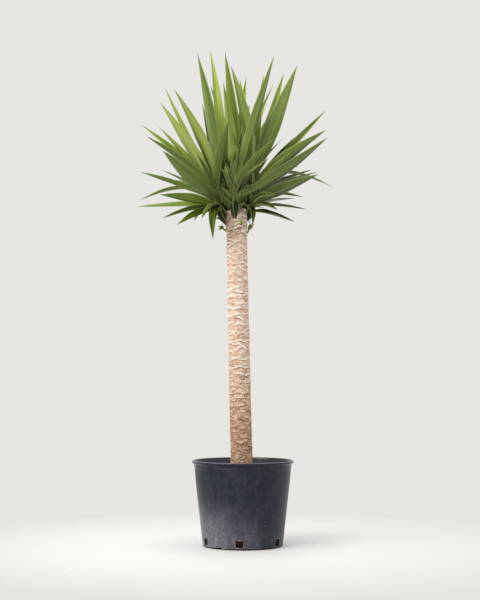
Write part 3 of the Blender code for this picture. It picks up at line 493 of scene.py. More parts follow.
cane = {
    "bottom": 60 * mm, "top": 841 * mm, "soilTop": 183 * mm, "footX": -2.5 * mm, "topX": -17 * mm,
    "footRadius": 27.2 * mm, "topRadius": 25.6 * mm, "flare": 1.7 * mm, "flareAt": 815 * mm,
    "flareReach": 26 * mm, "cutDrop": 7 * mm, "edgeDrop": 2.2 * mm, "sides": 18, "crest": 0.9 * mm,
    "groove": 1.0 * mm, "step": 2.6 * mm, "pitchLow": 12.5 * mm, "pitchHigh": 18.5 * mm,
    "pitchRise": 0.42, "swing": 0.28, "seed": 11,
    "columns": 136, "rowHeight": 0.95 * mm, "slantFrom": 790 * mm, "slantRise": 51 * mm, "pitSeed": 31,
    # how many, between what heights, their width, all in mm, and height as a share of width
    "pits": [(240, 183, 450, (0.8, 1.6), 0.8), (300, 183, 450, (1.6, 3.4), 0.3),
             (120, 420, 832, (1.5, 4.2), 0.26), (110, 440, 830, (0.6, 1.2), 0.7)],
    "slits": (150, 300, 830, (1.6, 3.6), 0.26), "nubs": (16, 430, 820, (1.5, 2.4), 0.7),
    "pitDeep": 1.0 * mm, "slitDeep": 0.5 * mm, "nubHigh": 1.6 * mm, "lipHigh": 0.85 * mm,
    # a scar line: mm that its lip fades over, upwards and below, how far under it the crease lies
    # and how wide that is, and from line to line as a share of the pitch
    "lipFade": (2.4, 4.8), "lipSharp": 0.85, "creaseUnder": 1.9, "creaseWide": 1.3, "lineSpacing": 0.44,
    # turns and weights of the sines that bend a line, and of those that make it come and go
    "lineWaves": [(5, 0.07), (9, 0.05), (17, 0.018)], "lineGaps": [(2, 0.34), (5, 0.22), (11, 0.16)],
    # ripples: least and most turns round, shortest and longest length in m, and how many sines
    "warp": ((1, 5, 0.02, 0.08), 14), "flakes": ((3, 11, 0.009, 0.026), 30),
    "cork": ((3, 36, 0.0045, 0.022), 70), "blotch": ((1, 6, 0.016, 0.06), 18),
    "swell": ((1, 5, 0.05, 0.3), 10),
    # heights where a change begins, and over what length it takes place: corky flakes and old bark,
    # both downwards, then brown stains, and pale bark with painted light against the crown's shade, both
    # upwards
    "corky": (450 * mm, 160 * mm), "oldBark": (620 * mm, 150 * mm), "stains": (738 * mm, 40 * mm),
    "paleBarkAndLight": (580 * mm, 110 * mm),
}

def upTheCane(height, foot, top, part=1.0):
    # a value that changes evenly with height, from the mix to the stated part of the bare length
    share = held((height - cane["soilTop"]) / (part * (cane["top"] - cane["soilTop"])))
    return cane[foot] + (cane[top] - cane[foot]) * share

def caneCentre(height):
    # leans in a straight line from the mix to the cut
    return upTheCane(height, "footX", "topX")

def caneRadius(height):
    # straight taper plus a swelling of bell shape under the cut
    swelling = cane["flare"] * np.exp(-(((height - cane["flareAt"]) / cane["flareReach"]) ** 2))
    return upTheCane(height, "footRadius", "topRadius") + swelling

def scarPitch(height):
    # grows from the foot on, and is even above the stated share of the bare length
    return upTheCane(height, "pitchLow", "pitchHigh", cane["pitchRise"])

def cutHeight(around):
    # the sawn top slants down from the right to the left
    return cane["top"] - cane["cutDrop"] * (1 - np.cos(around)) / 2

def scarHeights():
    # from the mix to the cut, each a pitch above the last, give or take an eighth
    draw = np.random.default_rng(cane["seed"])
    heights = []
    height = cane["soilTop"] + 6 * mm
    while height < cane["top"] - 16 * mm:
        heights.append(height)
        height += scarPitch(height) * draw.uniform(0.88, 1.12)
    return np.array(heights)

def scarWaves(around):
    # height and strength of each scar at each angle: a ring tilted to its leaf's side, each leaf a
    # golden angle further round, with slight sines of two and three turns
    heights = scarHeights()
    phases = np.random.default_rng(cane["seed"] + 1).uniform(0, turnFull, (len(heights), 3))[:, :, None]
    turn = math.radians(goldenAngle) * np.arange(len(heights))[:, None]
    swing = cane["swing"] * scarPitch(heights) * np.minimum(1.0, (cane["top"] - heights) / (34 * mm))
    swing = swing[:, None]
    wave = swing * (np.cos(around - turn) + 0.16 * np.sin(2 * around + phases[:, 0]))
    wave = wave + swing * 0.10 * np.sin(3 * around + phases[:, 1])
    return heights[:, None] + wave, 0.68 + 0.32 * np.sin(2 * around + phases[:, 2])

def guardCane(grow):
    # the cane as the solids have it, with a little to spare: a crest and a groove for each scar
    around = circle(cane["sides"])
    crests, strength = scarWaves(around)
    heights = [np.full(cane["sides"], height)
               for height in (cane["bottom"], cane["soilTop"] - 20 * mm, cane["soilTop"] - 3 * mm)]
    relief = [np.zeros(cane["sides"])] * 3
    for crest, power in zip(crests, strength):
        heights += [crest - cane["step"], crest]
        relief += [-cane["groove"] * power, cane["crest"] * power]
    cut = cutHeight(around)
    heights += [cut - 2 * mm, cut]
    relief += [np.zeros(cane["sides"]), np.full(cane["sides"], -cane["edgeDrop"])]
    heights = np.array(heights)
    radius = caneRadius(heights) + np.array(relief) + grow
    heights[0] -= grow
    heights[-1] += grow
    return capped(ringGrid(radius, around, heights, caneCentre(heights)))

def scarLines(around, heights, draw):
    # each leaf scar is a wavy level line: a pale lip that fades slowly upwards and ends sharply below,
    # over a crease 1.9 mm under it; both come and go round the cane, every second line the fainter
    # on the bark's colour the lip also paints a highlight and the crease a shade
    lip = np.zeros(heights.shape)
    crease = np.zeros(heights.shape)
    angles = around[0]
    height, index = cane["soilTop"] - 24 * mm, 0
    while height < cane["top"] + 16 * mm:
        pitch = scarPitch(max(height, cane["soilTop"]))
        phases = draw.uniform(0, turnFull, 8)
        wave = draw.uniform(0.20, 0.56) * (np.cos(angles - math.radians(goldenAngle) * index)
                                           + 0.5 * np.sin(2 * angles + phases[0]))
        for (whole, weight), phase in zip(cane["lineWaves"], phases[1:4]):
            wave = wave + weight * np.sin(whole * angles + phase)
        power = 0.72
        for (whole, weight), phase in zip(cane["lineGaps"], phases[4:7]):
            power = power + weight * np.sin(whole * angles + phase)
        power = held(power) * (1.0 if index % 2 else 0.75)
        near = np.abs(heights[:, 0] - height) < 34 * mm
        away = (heights[near] - height - wave * pitch) / mm
        width = np.where(away > 0, draw.uniform(*cane["lipFade"]), cane["lipSharp"])
        edge = np.exp(-((away / width) ** 2)) * power
        under = np.exp(-(((away + cane["creaseUnder"]) / cane["creaseWide"]) ** 2)) * power
        lip[near] = np.maximum(lip[near] * (1 - under), edge)
        crease[near] = np.maximum(crease[near] * (1 - edge), under)
        height += cane["lineSpacing"] * pitch * draw.uniform(0.70, 1.30)
        index += 1
    return lip, crease

def reached(heights, key, downwards=False):
    # how far a change has come, from 0 where it begins to 1
    start, over = cane[key]
    return held((start - heights if downwards else heights - start) / over)

def caneRelief(around, heights):
    # lips stand out and creases sink; towards the old foot cork breaks them into short flakes
    draw = np.random.default_rng(cane["pitSeed"])
    warped = heights + 0.6 * mm * ripple(draw, around, heights, *cane["warp"])
    lip, crease = scarLines(around, warped, draw)
    age = reached(heights, "corky", True) ** 0.8
    flakes = ripple(draw, around, heights, *cane["flakes"])
    cork = ripple(draw, around, heights, *cane["cork"])
    broken = 1 - age * held(0.45 - 0.8 * flakes)
    lip = lip * broken
    blotch = ripple(draw, around, heights, *cane["blotch"])
    relief = cane["lipHigh"] * lip - cane["lipHigh"] * crease + (0.10 + 0.24 * age) * mm * cork
    relief = relief + 0.35 * mm * ripple(draw, around, heights, *cane["swell"])
    return relief, lip, crease, age, cork, blotch

def pitField(around, heights, draw, count, low, high, size, tall):
    # small hollows: bells in arc and height, each at its own place, the deepest taken at each point
    field = np.zeros(np.broadcast(around, heights).shape)
    places = [draw.uniform(0, turnFull, count), draw.uniform(low * mm, high * mm, count)]
    for turn, height in np.stack(places, axis=1):
        wide = draw.uniform(size[0] * mm, size[1] * mm)
        reach = np.abs(heights[:, 0] - height) < 3 * wide * tall
        aside = (around - turn + math.pi) % turnFull - math.pi
        away = (aside * caneRadius(height) / wide) ** 2 + ((heights[reach] - height) / (wide * tall)) ** 2
        field[reach] = np.maximum(field[reach], np.exp(-away))
    return field

def makeCane():
    # rings from the buried end to the slanting cut, carved by the relief, then a sunk top of three rings
    rows = int((cane["top"] - cane["soilTop"] + 14 * mm) / cane["rowHeight"])
    low = np.array([cane["bottom"], 110 * mm, 150 * mm])
    level = np.concatenate([low, np.linspace(cane["soilTop"] - 14 * mm, cane["top"], rows)])[:, None]
    around = circle(cane["columns"])
    cut = cutHeight(around)
    start = cane["slantFrom"]
    heights = np.where(level > start, start + (level - start) * (cut - start) / cane["slantRise"], level)
    heights = heights + 0 * around
    relief, crest, crease, age, cork, cell = caneRelief(around + 0 * heights, heights)
    draw = np.random.default_rng(cane["pitSeed"] + 1)
    pits = np.maximum.reduce([pitField(around, heights, draw, *kind) for kind in cane["pits"]])
    slits = pitField(around, heights, draw, *cane["slits"])
    nubs = pitField(around, heights, draw, *cane["nubs"])
    relief = relief - cane["pitDeep"] * pits - cane["slitDeep"] * slits + cane["nubHigh"] * nubs
    calm = held((cane["top"] - 2 * mm - level) / (6 * mm))
    edge = cane["edgeDrop"]
    relief = relief * calm - edge * held((level - cane["top"] + edge) / edge) ** 2
    grid = ringGrid(caneRadius(heights) + relief, around, heights, caneCentre(heights))
    rings = []
    for share in (0.86, 0.62, 0.34):
        ring = grid[-1].mean(axis=0) + (grid[-1] - grid[-1].mean(axis=0)) * share
        ring[:, 2] += (ripple(draw, around, 0 * around, (2, 9, 1, 2)) * 0.3 - 0.5) * mm
        rings.append(ring)
    points, faces = capped(np.concatenate([grid, np.array(rings)]))
    # old bark from the foot up to the middle, and brown stains on the front under the leaves
    middle = 0.32 * reached(heights, "oldBark", True)
    stained = 0.9 * reached(heights, "stains")
    stained = stained * held(0.3 - 0.4 * np.cos(around) + 0.6 * cell)
    # painted shade in the creases under the scar lips, with the rust of slits and the brown stains
    creaseShadeAndStains = crease * 1.05 + 0.9 * slits - (0.10 + 0.16 * age) * cork - 0.05 + 0.3 * stained
    marks = {
        # the lips' pale cork, with a painted highlight that fades upwards from each lip
        "crest": held(crest * 1.12 - 0.05 + (0.10 + 0.12 * age) * cork) * (1 - 0.74 * age),
        "crease": held(creaseShadeAndStains),
        # paler up the cane: pale young bark together with painted light against the crown's shade
        "cell": cell + 1.1 * reached(heights, "paleBarkAndLight"),
        # dark pits and nubs, stains, and painted crease shade on the old bark
        "pit": held(pits * 1.1 - 0.15 + 0.7 * nubs + 0.4 * stained + 0.42 * crease * age),
        "age": held(np.maximum(age, middle) + stained + 0.12 * cork),
    }
    sawn = {key: np.full(3 * cane["columns"], 0.8 if key == "age" else 0.0) for key in marks}
    marks = {key: np.concatenate([values.ravel(), sawn[key], [0, 0]]) for key, values in marks.items()}
    made = newPiece("caneBark", points, faces, bark, marks=marks, smooth=75)
    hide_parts("trunk")

makeCane()
print("cane made")

mix = {
    "mound": 4 * mm, "lumps": 0.9 * mm, "seed": 17, "rings": 60, "sides": 160, "floor": 8.2 * mm,
    "wallGap": 0.55 * mm, "wallRings": (178 * mm, 12 * mm, 24), "turnIn": 12 * mm,
    "hollows": ((1, 9, 0.03, 0.09), 14), "clods": ((9, 48, 0.006, 0.02), 26),
    # how many, half length in mm, and thickness as a share of length
    "loose": {"mixChips": (420, (2.2, 5.5), 0.32), "mixPerlite": (26, (1.0, 1.9), 0.85)},
    "strewn": (0.075, 0.93),        # from and to what share of the mix's area
}

def mixHeight(radius, rim):
    # level with the mix at the rim, mounded towards the cane
    rise = np.interp(radius / rim, [0.0, 0.33, 0.5, 0.7, 0.9, 1.0], [1.0, 1.0, 0.6, 0.35, 0.2, 0.0])
    return cane["soilTop"] + mix["mound"] * rise

def makeMixBed():
    # rings out over the lumpy top, down inside the wall and in under the bottom
    draw = np.random.default_rng(mix["seed"])
    rim = wallRadius(cane["soilTop"]) - pot["wall"] - 0.5 * mm
    turn = circle(mix["sides"])
    radius = (np.linspace(0.02, 1.0, mix["rings"]) * rim)[:, None]
    lumps = ripple(draw, turn, radius, *mix["hollows"])
    lumps = lumps + 0.6 * ripple(draw, turn, radius, *mix["clods"])
    calm = np.clip((rim - radius) / (6 * mm), 0.15, 1)      # nearly level at the rim
    height = mixHeight(radius, rim) + mix["lumps"] * lumps * calm
    down = np.linspace(*mix["wallRings"])[:, None]
    side = ringGrid(wallRadius(down) - pot["wall"] - mix["wallGap"], turn, down)
    under = ringGrid(wallRadius(8 * mm) - mix["turnIn"], turn, mix["floor"])[None]
    grid = np.concatenate([ringGrid(radius, turn, height), side, under])
    points, faces = capped(grid, [0, 0, grid[0, :, 2].mean()], [0, 0, mix["floor"]])
    bed = newPiece("mixBed", points, faces, pottingMix, smooth=180)
    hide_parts("soil")
    return rim, draw

def chipCorners(draw, sizes):
    # a broken flake: a block's corners pushed in by chance, then turned round Z and tipped a little
    corner = np.array([[x, y, z] for x in (-1, 1) for y in (-1, 1) for z in (-1, 1)], dtype=float)
    corner *= draw.uniform(0.55, 1.0, corner.shape) * sizes
    spin = Matrix.Rotation(draw.uniform(0, turnFull), 3, "Z")
    for axis in ("X", "Y"):
        spin = spin @ Matrix.Rotation(draw.uniform(-0.6, 0.6), 3, axis)
    return corner @ np.array(spin).T

def makeMixChips(rim, draw):
    # strewn evenly over the mix, each laid on its height
    box = [(0, 1, 3, 2), (4, 6, 7, 5), (0, 4, 5, 1), (2, 3, 7, 6), (0, 2, 6, 4), (1, 5, 7, 3)]
    finishes = {"mixChips": pineChips, "mixPerlite": makePerlite()}
    for name, (count, size, flat) in mix["loose"].items():
        points, faces = [], []
        for index in range(count):
            reach = math.sqrt(draw.uniform(*mix["strewn"])) * rim
            turn = draw.uniform(0, turnFull)
            wide = draw.uniform(*size) * mm
            shape = chipCorners(draw, np.array([wide, wide * draw.uniform(0.5, 0.9), wide * flat]))
            height = float(mixHeight(reach, rim)) + 0.6 * mm
            points.append(shape + [reach * math.cos(turn), reach * math.sin(turn), height])
            faces += [tuple(index * 8 + corner for corner in face) for face in box]
        newPiece(name, np.vstack(points), faces, finishes[name], smooth=20)

# expanded perlite: white porous grit
def makePerlite():
    made, add, shader = newMaterial("expandedPerlite")
    place = add("TexCoord", {}, "Object")
    pores = add("TexVoronoi", {"Scale": 900.0, "Vector": place}, "Distance")
    colour = add("ValToRGB", {0: pores, "ramp": [(0.1, "#a39d92"), (0.5, "#e2dfd8")]})
    setNode(shader, {"Base Color": colour, "Roughness": 0.9})
    return made

makeMixChips(*makeMixBed())
print("mix made")

blade = {
    "bendAt": 0.30, "widestAt": 0.52, "baseWidth": 0.56, "midThick": 1.9 * mm, "edgeThick": 1.0 * mm,
    "clear": 1.3 * mm, "freeFrom": 0.24, "endOn": 0.975, "rollEnd": 0.35, "stations": 46,
    "solidStations": (0.0, 0.14, 0.32, 0.51, 0.70, 0.87), "foldAt": (0.0, 0.25, 0.6, 1.0),
    "fold": (38, 23, 17, 22), "shownFold": (40, 30, 26, 28), "shownMid": 1.3 * mm, "shownThin": 0.8 * mm,
    "shownEdge": 0.55 * mm, "waver": 0.45 * mm, "halfShade": (0.08, 0.26), "spread": 1.03, "seed": 3,
}

# each leaf is tip x, y, z, width, bow, share of its face seen from the front, and its tone from -1,
# dark, to 1, bright, partly painted light and shade; a negative share shows the underside
heads = {
    "head_left": {
        "stem": [(-33, 0, 801), (-47, -1, 819), (-57, -2, 850), (-66, -2, 892)],
        "radii": [10, 15, 18, 12], "low": (-56, -2, 832), "high": (-66, -2, 886), "steep": (-35, 80),
        "leaves": [
            (-83, 0, 1247, 31, 15, 0.84, 0.5), (-112, -75, 1210, 38, 19, -0.88, -0.15),
            (-170, -80, 1128, 33, 17, -0.82, 0.2), (-204, -90, 1093, 34, 4, -0.80, 0.4),
            (-200, 30, 1157, 28, -6, 0.57, 0.35), (-214, -8, 1053, 29, 2, 0.62, 0.1),
            (-35, -180, 1030, 34, 18, -0.85, -0.3), (-236, -90, 1007, 30, 14, -0.60, -0.4),
            (-258, 40, 1068, 30, 8, 0.55, 0.2), (-193, -150, 963, 36, -5, -0.95, -0.2),
            (-268, 110, 950, 29, 2, 0.62, -0.55), (-256, -60, 853, 26, 37, 0.45, -0.1),
            (-198, -190, 851, 34, 0, 0.83, -0.3), (-277, 120, 860, 28, 0, 0.55, -0.1),
            (-195, -140, 800, 26, 8, 0.50, -0.3), (-210, 60, 1080, 24, 2, 0.60, 0.1),
            (-250, 80, 1049, 25, 8, 0.32, -0.15), (-131, 160, 1031, 28, 12, 0.60, 0.0),
            (-105, 60, 1121, 27, 6, 0.70, 0.2), (-161, -120, 788, 27, 8, 0.75, -0.15),
            (-99, -170, 795, 25, 16, 0.50, -0.3), (-73, -80, 756, 26, 34, 0.85, -0.3),
            (-30, 50, 1010, 30, 6, 0.80, -0.3), (-36, 14, 936, 26, 3, 0.80, -0.3)],
        "hidden": (7, 122, 42)},
    "head_right": {
        "stem": [(-4, 4, 806), (10, 6, 822), (20, 8, 850), (25, 9, 888), (27, 9, 924)],
        "radii": [10, 13, 15, 13, 9], "low": (17, 7, 834), "high": (27, 9, 922), "steep": (0, 55),
        "leaves": [
            (-30, -20, 1200, 34, 10, -0.85, -0.1), (137, -20, 1201, 40, -1, -0.93, 0.0),
            (106, 30, 1200, 31, -4, 0.80, 0.1), (54, 50, 1193, 28, 0, 0.70, 0.1),
            (-8, 40, 1190, 28, 0, 0.72, 0.2), (211, 40, 1097, 32, -8, 0.66, 0.0),
            (207, -50, 1031, 35, 6, -0.76, -0.5), (23, -200, 1004, 30, 14, -0.80, 0.0),
            (184, -110, 911, 34, 3, -0.80, -0.85), (181, 120, 957, 27, 5, 0.50, -0.4),
            (194, 150, 962, 25, 5, 0.30, -0.7), (232, 60, 902, 22, 66, 0.35, -0.4),
            (76, -200, 848, 28, 16, 0.60, -0.3), (139, 170, 888, 25, 8, 0.28, -0.5),
            (110, 150, 895, 25, 4, 0.40, -0.3), (84, -150, 820, 26, 13, 0.42, -0.5),
            (133, 50, 812, 25, 5, 0.45, -0.6), (49, -30, 828, 14, 0, 0.60, -0.2),
            (24, -60, 791, 22, 20, 0.80, -0.25), (-8, 40, 1010, 29, 6, 0.80, -0.3),
            (-6, 12, 930, 30, 3, 0.85, -0.6)],
        "hidden": (7, 58, 42)},
    "head_front": {
        "stem": [(-20, -20, 815), (-21, -34, 829), (-23, -44, 850), (-24, -48, 898)],
        "radii": [7, 9, 14, 12], "low": (-22, -42, 838), "high": (-23, -48, 880), "steep": (-20, 75),
        "leaves": [
            (77, -110, 1206, 29, 0, -0.84, -0.25), (-48, -120, 1136, 32, 12, -0.86, 0.1),
            (208, -110, 1003, 34, -13, -0.76, -0.7), (76, -60, 1146, 22, 7, -0.42, -0.2),
            (-26, -230, 871, 27, 20, 0.72, -0.6)],
        "hidden": (1, -80, 20)},
    "head_back": {
        "stem": [(-16, 14, 808), (-16, 34, 824), (-15, 46, 850), (-14, 50, 900)],
        "radii": [11, 15, 17, 12], "low": (-15, 44, 838), "high": (-14, 50, 896), "steep": (-20, 70),
        "leaves": [
            (-45, 20, 1234, 32, 15, 0.85, 0.25), (10, 70, 1203, 28, 8, 0.72, 0.1),
            (64, 80, 1127, 27, 8, 0.60, 0.7), (-62, 60, 1062, 34, 5, 0.85, -0.4),
            (24, 60, 1050, 34, 5, 0.85, -0.2), (-95, 120, 990, 34, 2, 0.85, -0.4),
            (-108, 105, 915, 32, 4, 0.80, -0.4), (66, 110, 985, 32, 2, 0.85, -0.15)],
        "hidden": (10, 90, 50)},
}

hidden = {
    # degrees above level of the first leaf and how much lower the last stands; lengths and widths in mm
    "steep": 76, "steepDrop": 90, "longest": 345, "shorter": 90, "shortest": 205, "width": (27, 33),
    "middle": (-20, 870), "seed": 5,
    # outline of the crown from the front: degrees from straight up, and mm from its middle
    "angles": [-180, -150, -120, -92, -72, -50, -39, -31, -25, -16,
               0, 16, 26, 32, 40, 46, 60, 80, 112, 180],
    "reach": [60, 100, 130, 215, 235, 280, 265, 285, 175, 330,
              350, 330, 335, 190, 135, 295, 240, 200, 120, 60],
}

def bladeWidth(at):
    # a drawn-in base, widest near the middle, then a long sharp point: 1 less a power of 1.8
    at = np.asarray(at, dtype=float)
    swell = held(at / blade["widestAt"])
    swell = blade["baseWidth"] + (1 - blade["baseWidth"]) * swell * swell * (3 - 2 * swell)
    beyond = held((at - blade["widestAt"]) / (1 - blade["widestAt"]))
    return swell * (1 - beyond ** 1.8)

def bladeFrames(leaf, stations):
    # one bowed curve of second degree from base to tip; past its base the blade is rolled until it
    # shows the front its share of face
    at = np.asarray(stations, dtype=float)[:, None]
    chord = leaf["tip"] - leaf["base"]
    along = unit(chord)
    rise = unit(np.array([0.0, 0.0, 1.0]) - along * along[2])
    knee = leaf["base"] + chord * blade["bendAt"] + rise * leaf["bow"] * 2
    place = (1 - at) ** 2 * leaf["base"] + 2 * at * (1 - at) * knee + at ** 2 * leaf["tip"]
    ahead = unit((1 - at) * (knee - leaf["base"]) + at * (leaf["tip"] - knee))
    face = unit(rise - ahead * (ahead @ rise)[:, None])
    seen = front - ahead * (ahead @ front)[:, None]
    seen /= np.maximum(np.linalg.norm(seen, axis=1)[:, None], 0.25)
    across = np.cross(ahead, seen)
    sense = 1.0 if np.sum(face * across) >= 0 else -1.0
    shown = leaf["shown"]
    if shown is not None and abs(along @ front) <= blade["endOn"]:
        rolled = shown * seen + sense * math.sqrt(1 - shown * shown) * across
        ease = held(at / blade["rollEnd"])
        ease = ease * ease * (3 - 2 * ease)
        face = (1 - ease) * face + ease * rolled
    face = unit(face - ahead * np.sum(ahead * face, axis=1)[:, None])
    return place, np.cross(ahead, face), face

def solidBlade(leaf, stations, spare=0.0):
    # the folded blade of the solids: six points a row, used here only to find each leaf's place
    at = np.asarray(stations, dtype=float)
    place, side, face = bladeFrames(leaf, at)
    half = (leaf["width"] / 2 * bladeWidth(at) + spare)[:, None]
    fold = np.radians(np.interp(at, blade["foldAt"], blade["fold"]))[:, None]
    across = side * half * np.cos(fold)
    lift = face * half * np.sin(fold)
    edge = face * (blade["edgeThick"] + 2 * spare)
    middle = face * (blade["midThick"] + 2 * spare)
    up = face * spare
    rows = [place + across + lift + up, place + up, place - across + lift + up]
    rows += [place - across + lift + up - edge, place + up - middle, place + across + lift + up - edge]
    points = np.stack(rows, axis=1).reshape(-1, 3)
    faces = []
    count = len(at)
    for row in range(count - 1):
        a = row * 6
        b = a + 6
        faces += [(a, a + 1, b + 1), (a, b + 1, b), (a + 5, b + 4, a + 4), (a + 5, b + 5, b + 4)]
        faces += [(a + 2, b + 2, b + 1), (a + 2, b + 1, a + 1), (a + 3, b + 4, b + 3)]
        faces += [(a + 3, a + 4, b + 4), (a, b, b + 5), (a, b + 5, a + 5)]
        faces += [(a + 2, a + 3, b + 3), (a + 2, b + 3, b + 2)]
    end = (count - 1) * 6
    tip = len(points)
    faces += [(end + index, end + (index + 1) % 6, tip) for index in range(6)]
    faces += [(0, 5, 4), (0, 4, 1), (1, 4, 3), (1, 3, 2)]
    return np.vstack([points, leaf["tip"][None, :] - face[-1] * blade["edgeThick"] / 2]), faces

def leafOf(head, row):
    # the steeper a leaf stands, the higher it leaves the stem
    x, y, z, width, bow, shown, tone = row
    tip, low, high = metres([x, y, z]), metres(head["low"]), metres(head["high"])
    steep = math.degrees(math.asin(unit(tip - (low + high) / 2)[2]))
    share = min(max((steep - head["steep"][0]) / (head["steep"][1] - head["steep"][0]), 0.0), 1.0)
    base = low + (high - low) * share
    outward = (tip - base) * np.array([1.0, 1.0, 0.0])
    base = base + outward / max(np.linalg.norm(outward), 1e-6) * 4 * mm
    return {"base": base, "tip": tip, "width": width * mm, "bow": bow * mm, "shown": shown, "tone": tone}

def hiddenRows(head, draw):
    # leaves behind the seen ones, set round the stem by the golden angle and kept inside the crown
    rows = []
    count, headingMiddle, halfTurn = head["hidden"]
    middle = (np.array(head["low"], dtype=float) + np.array(head["high"], dtype=float)) / 2
    for index in range(count):
        share = (index + 0.5) / count
        steep = math.radians(hidden["steep"] - hidden["steepDrop"] * share + draw.uniform(-6, 6))
        turnedBy = (index * goldenAngle + draw.uniform(-9, 9)) % 360
        heading = math.radians(headingMiddle + (turnedBy / 180 - 1) * halfTurn)
        length = hidden["longest"] - hidden["shorter"] * share + draw.uniform(-15, 15)
        flat = length * math.cos(steep)
        step = np.array([flat * math.cos(heading), flat * math.sin(heading), length * math.sin(steep)])
        tip = middle + step
        for _ in range(20):
            ahead, rise = tip[0] - hidden["middle"][0], tip[2] - hidden["middle"][1]
            limit = np.interp(math.degrees(math.atan2(ahead, rise)), hidden["angles"], hidden["reach"])
            if math.hypot(ahead, rise) <= limit:
                break
            step = step * 0.96
            tip = middle + step
        width = draw.uniform(*hidden["width"])
        shown = math.sin(steep) * math.sin(heading) * 0.9
        if np.linalg.norm(step) >= hidden["shortest"] - 60 * share:
            # hidden leaves are dark: painted shade deep inside the crown
            tone = 0.3 * math.sin(7 * index) - 0.4
            rows.append((tip[0], tip[1], tip[2], width, 8 + 14 * share, shown, tone))
    return rows

# what a leaf may be moved by: mm in depth, degrees of swing and share of roll, with the cost of each
tries = {
    "depth": (0, -10, 10, -20, 20, -32, 32, -46, 46, -62, 62), "depthStep": 12,
    "swing": (0, -1, 1, -2.2, 2.2, -3.6, 3.6), "swingStep": 0.6, "roll": (0, -0.15, 0.15), "rollStep": 0.15,
}

def leafMoves():
    # small changes tried to bring a blade clear of the others, the least first
    moves = []
    for depth in tries["depth"]:
        for swing in tries["swing"]:
            for roll in tries["roll"]:
                cost = abs(depth) / tries["depthStep"] + abs(swing) / tries["swingStep"]
                cost += abs(roll) / tries["rollStep"]
                moves.append((cost, depth * mm, math.radians(swing), roll))
    return sorted(moves)

def movedLeaf(leaf, depth, swing, roll):
    # its tip moved in depth and swung about its base in the plane of the front, and its face turned
    x, y, z = leaf["tip"] - leaf["base"]
    arm = np.array([x * math.cos(swing) + z * math.sin(swing), y + depth,
                    z * math.cos(swing) - x * math.sin(swing)])
    shown = min(max(leaf["shown"] + roll, -0.97), 0.97)
    return dict(leaf, tip=leaf["base"] + arm, shown=shown)

def treeOf(shells):
    # all the shells' faces in one search tree
    points, faces = [], []
    for shellPoints, shellFaces in shells:
        first = len(points)
        points += [tuple(p) for p in shellPoints]
        faces += [tuple(index + first for index in face) for face in shellFaces]
    return BVHTree.FromPolygons(points, faces)

def stemRows(places, radii, sides):
    # rings round a short stem through a few places, its top drawn in
    places = list(metres(places))
    ends = places + [places[-1] + (places[-1] - places[-2]) * 0.25]
    sizes = [r * mm for r in radii] + [radii[-1] * 0.45 * mm]
    around = circle(sides)
    rows = []
    for index, (place, size) in enumerate(zip(ends, sizes)):
        ahead = unit(ends[min(index + 1, len(ends) - 1)] - ends[max(index - 1, 0)])
        side = unit(np.cross(ahead, front))
        turned = np.outer(np.cos(around), side) + np.outer(np.sin(around), np.cross(ahead, side))
        rows.append(place + size * turned)
    return np.array(rows), ends

def solidStem(head):
    # the stem of the solids, with ten sides and both ends closed
    rows, ends = stemRows(head["stem"], head["radii"], 10)
    return capped(rows, ends[0], ends[-1])

def placeLeaves():
    # every leaf is moved as little as brings it clear of the rest, in the order that the solids use
    draw = np.random.default_rng(hidden["seed"])
    waiting = [(name, row) for name, head in heads.items() for row in head["leaves"]]
    waiting += [(name, row) for name, head in heads.items() for row in hiddenRows(head, draw)]
    outer = np.linspace(blade["freeFrom"], 0.93, 8)
    guard = treeOf([guardCane(0.3 * mm)])
    placed = {name: [] for name in heads}
    outerShells = {name: [] for name in heads}
    wholeShells = {name: [solidStem(head)] for name, head in heads.items()}
    outerTrees = {}
    wholeTrees = {name: treeOf(wholeShells[name]) for name in heads}
    moves = leafMoves()
    for name, row in waiting:
        start = leafOf(heads[name], row)
        for _, depth, swing, roll in moves:
            leaf = movedLeaf(start, depth, swing, roll)
            spareWhole = treeOf([solidBlade(leaf, blade["solidStations"], blade["clear"])])
            spareOuter = treeOf([solidBlade(leaf, outer, blade["clear"])])
            clear = not spareOuter.overlap(guard)
            if clear and name in outerTrees:
                clear = not spareOuter.overlap(outerTrees[name])
            for other in heads:
                if clear and other != name:
                    clear = not spareWhole.overlap(wholeTrees[other])
            if clear:
                placed[name].append(leaf)
                outerShells[name].append(solidBlade(leaf, outer))
                wholeShells[name].append(solidBlade(leaf, blade["solidStations"]))
                outerTrees[name] = treeOf(outerShells[name])
                wholeTrees[name] = treeOf(wholeShells[name])
                break
    return placed

class Bundle:
    # gathers several shapes into one mesh
    def __init__(self):
        self.points, self.faces, self.uv, self.total = [], [], [], 0
        self.marks = {"tone": [], "under": [], "dry": []}

    def add(self, points, faces, uv, tone, under, dry):
        # tone (the leaf's colour with its painted light and shade), under and dry are one value for the
        # shape or one for each of its points
        count = len(points)
        self.points.append(points)
        self.faces += [tuple(index + self.total for index in face) for face in faces]
        self.uv.append(uv)
        for key, value in (("tone", tone), ("under", under), ("dry", dry)):
            self.marks[key].append(np.broadcast_to(np.asarray(value, dtype=float), (count,)))
        self.total += count

    def piece(self, name):
        # all of it as one mesh
        marks = {key: np.concatenate(values) for key, values in self.marks.items()}
        return newPiece(name, np.vstack(self.points), self.faces, leafSkin, uv=np.vstack(self.uv),
                        marks=marks, smooth=50)

def uvGrid(across, along, first, last):
    # across and along of every point of a grid, then of the middles of its two ends
    return np.vstack([spread(across, along).reshape(-1, 2), [[0.5, first], [0.5, last]]])

